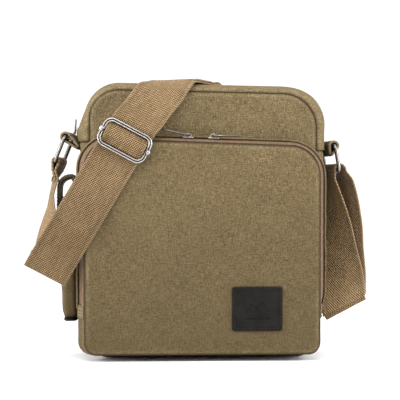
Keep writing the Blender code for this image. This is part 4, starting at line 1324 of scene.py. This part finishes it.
def build_buckle():
    """A three-bar slide: a grooved frame, its centre bar with end knobs, the webbing over the bar."""
    across = Vector(FRONT_ACROSS).normalized()
    centre = Vector(BUCKLE_PLACE) * MM
    run = (centre - Vector((-106, -68.4, 155.4)) * MM).normalized()
    front = across.cross(run).normalized()
    wire_radius, turn = 1.8 * MM, 7 * MM
    place = axes_at(centre + front * (WEB / 2 + CLEAR + wire_radius), across,
                    front.cross(across).normalized(), front)
    half_x, half_y = 25 * MM - wire_radius, 14.25 * MM - wire_radius
    outline = rounded([(-half_x, -half_y, turn), (half_x, -half_y, turn), (half_x, half_y, turn),
                       (-half_x, half_y, turn)], 12)
    section = [(reach * MM, rise * MM, shade) for reach, rise, shade in GROOVED_WIRE]
    wire("buckle_frame_wire", outline, section, place, "strap_buckle", "buckle_frame")
    bar_half = half_x - wire_radius - CLEAR
    end = bar_half / MM
    bar = ((0.3, -end, 0.5), (1.5, -end, 0.5), (1.5, end, 0.5), (0.3, end, 0.5))
    turned_metal("buckle_bar_wire", place.translation, across, bar, "strap_buckle", ["buckle_bar"])
    for side, where in ((-1, "left"), (1, "right")):
        knob_place = place @ Vector((side * (half_x + 0.9 * MM), 0, 0.5 * MM))
        piece = turned_metal("buckle_knob_" + where, knob_place, across * side, KNOB, "strap_buckle", [], 20)

    crest = 1.5 * MM + CLEAR + WEB / 2
    foot = -wire_radius + WEB / 2 + CLEAR
    rise = [(9.4, foot - 0.3 * MM), (8, foot), (5.5, foot + 0.6 * MM), (2.5, crest - 0.3 * MM)]
    heights = [(-reach, height) for reach, height in rise] + [(0, crest)] + rise[::-1]
    hump = [(place @ Vector((0, reach * MM, height)), across) for reach, height in heights]
    piece = webbing("buckle_webbing_cloth", ribbon_rows(hump, 0, 8, 2 * bar_half - 1.2 * MM), 0.19)
    place_on(piece, "strap_buckle", "buckle_webbing")


# Sliders and pulls ----------------------------------------------------------------------------

def build_slider(name, foot, along, outward):
    """A slider body, waisted like a shoe, with an arched bridge for the pull."""
    half, plate, steps, bends = 5.5 * MM, 1.6 * MM, 40, 12
    spots = []
    outline = []
    for c, s in circle(steps):
        x = half * bow(c, 0.6)
        outline.append((x, (4.0 * MM - 0.7 * MM * bell(x + 1.5 * MM, 2.2 * MM)) * bow(s, 0.55)))
    plates = ((0.9, 0), (1, 0.25 * MM), (1, plate - 0.45 * MM), (0.93, plate - 0.1 * MM), (0.8, plate))
    for size, height in plates:
        spots += [Vector((x * size, y * size, height)) for x, y in outline]
    faces = tube_faces(steps, len(plates)) + tube_faces(6, bends + 1, len(spots))
    angles = [math.pi * bend / bends for bend in range(bends + 1)]
    rise = 3.3 * MM
    arch = [Vector((-2.9 * MM * math.cos(angle), plate - 0.3 * MM + rise * bow(math.sin(angle), 0.7)))
            for angle in angles]
    for middle, slope in zip(arch, directions(arch)):
        for side, lift in ((-1, -0.5), (-1.3, 0), (-1, 0.5), (1, 0.5), (1.3, 0), (1, -0.5)):
            edge = middle + Vector((-slope.y, slope.x)) * lift * MM
            spots.append(Vector((edge.x, side * MM, edge.y)))
    place = axes_at(foot, along, along.cross(outward), outward)
    points = [place @ spot for spot in spots]
    shades = [0.35 + 0.4 * max(0.0, ripple(p.x, p.y, p.z, 2 * MM)) for p in points]
    piece = add_piece(name + "_body", points, faces, "nickel", None, shades)
    fix_normals(piece, False)
    return piece


def build_pull(name, hinge, along, across, length, body):
    """A wire pull: a wide eye round the slider's bridge that narrows to a slim loop."""
    half = 5.2 * MM
    side = [(0, half, 1.2 * MM), (4 * MM, half, 1 * MM), (8 * MM, 1.9 * MM, 2 * MM),
            (length, 1.6 * MM, 1.2 * MM)]
    outline = rounded(side + [(x, -y, radius) for x, y, radius in reversed(side)], 5)
    place = axes_at(hinge, along, across, along.cross(across))
    # The pull's wire is painted evenly darker than the slider, as painted shade
    wire(name + "_wire", outline, round_section(0.75 * MM, 10, 0.7), place, body, name)


def build_zips():
    depth = Vector((0, 1, 0))
    foot = Vector((-HALF_WIDTH - SIDE_BELLY - 0.5 * MM, 0, ZIP_END_LEFT + 9 * MM))
    slider = build_slider("main_zip_slider", foot, Vector((0, 0, 1)), Vector((-1, 0, 0)))
    place_on(slider, "main_slider", "main_zip_slider")
    build_pull("main_zip_pull", joint_origin("main_pull_swing"), Vector((0.06, 0, 1)).normalized(), depth,
               13 * MM, "main_pull")
    slope = Vector((POCKET_RIGHT - POCKET_LEFT, 0, POCKET_TOP_RIGHT - POCKET_TOP_LEFT)).normalized()
    lift = Vector((-slope.z, 0, slope.x))
    for side, sign, raised_by in (("left", -1, 11), ("right", 1, 3)):
        hinge = joint_origin("pocket_pull_swing_" + side)
        name = "pocket_slider_" + side
        place_on(build_slider(name, hinge - lift * 3.0 * MM, slope * -sign, lift), name, name)
        angle = math.radians(raised_by)
        along = slope * sign * math.cos(angle) + lift * math.sin(angle)
        build_pull("pocket_pull_" + side, hinge, along, depth, 26 * MM, "pocket_pull_" + side)


# Studio ---------------------------------------------------------------------------------------

def area_light(name, place, target, size, power):
    data = bpy.data.lights.new(name, "AREA")
    data.shape = "RECTANGLE"
    data.size, data.size_y = size
    data.energy = power
    lamp = bpy.data.objects.new(name, data)
    lamp.location = place
    lamp.rotation_euler = (Vector(target) - Vector(place)).to_track_quat("-Z", "Y").to_euler()
    bpy.context.scene.collection.objects.link(lamp)


def build_studio():
    paint = Paint("floor_paper")
    grain = paint.noise(paint.coords("Object"), 60, 3)
    colour = paint.ramp(grain, (0.3, (0.89, 0.89, 0.89)), (0.7, (0.92, 0.92, 0.92)))
    material = paint.finish(colour, paint.span(grain, 0.3, 0.7, 0.85, 0.95), paint.bump(grain, 0.0001))
    data = bpy.data.meshes.new("floor")
    data.from_pydata([(-6, -6, 0), (6, -6, 0), (6, 6, 0), (-6, 6, 0)], [], [(0, 1, 2, 3)])
    data.materials.append(material)
    floor = bpy.data.objects.new("floor", data)
    bpy.context.scene.collection.objects.link(floor)
    floor.location.z = cad_box[0][2] - 0.2 * MM

    scene = bpy.context.scene
    world = scene.world or bpy.data.worlds.new("studio")
    scene.world = world
    world.use_nodes = True
    background = next(node for node in world.node_tree.nodes if node.type == "BACKGROUND")
    background.inputs["Color"].default_value = (1, 1, 1, 1)
    background.inputs["Strength"].default_value = 1.13
    area_light("top_softbox", (-0.15, -0.40, 0.85), (0, 0, 0.22), (0.9, 0.4), 6.2)
    area_light("left_softbox", (-1.25, -0.4, 0.5), (0, 0, 0.13), (0.5, 0.8), 18)
    area_light("right_softbox", (1.25, -0.4, 0.5), (0, 0, 0.13), (0.4, 0.8), 18)
    scene.view_settings.view_transform = "Standard"


def build_camera():
    target = Vector((2, 0, 130)) * MM
    azimuth, elevation, distance = math.radians(-3), math.radians(1), 1.35
    away = Vector((math.sin(azimuth) * math.cos(elevation), -math.cos(azimuth) * math.cos(elevation),
                   math.sin(elevation)))
    data = bpy.data.cameras.new("camera")
    data.lens = 123.4
    data.shift_x = -0.00875
    data.shift_y = 0.055
    camera = bpy.data.objects.new("camera", data)
    camera.location = target + away * distance
    camera.rotation_euler = (-away).to_track_quat("-Z", "Y").to_euler()
    bpy.context.scene.collection.objects.link(camera)
    bpy.context.scene.camera = camera


build_camera()
build_studio()
thread = Stitches("canvas_stitching", "thread")
dark_thread = Stitches("leather_stitching", "dark_thread")
build_shell()
build_top(thread)
build_lining()
build_patch(build_pocket(thread), dark_thread)
build_pouch(thread, dark_thread)
build_rings()
build_ring_tab("ring_tab_left", LEFT_RING, Vector((12.5, -10.5)) * MM, thread)
build_ring_tab("ring_tab_right", RIGHT_RING, Vector((-3.2, -9)) * MM, thread)
build_main_strap()
build_right_strap()
end_thread = Stitches("strap_end_stitching", "thread")
turned_metal("strap_rivet_cap", *build_left_strap(end_thread), RIVET, "left_ring", ["strap_rivet"])
build_buckle()
build_zips()
thread.make("bag")
dark_thread.make("bag")
end_thread.make("left_ring")
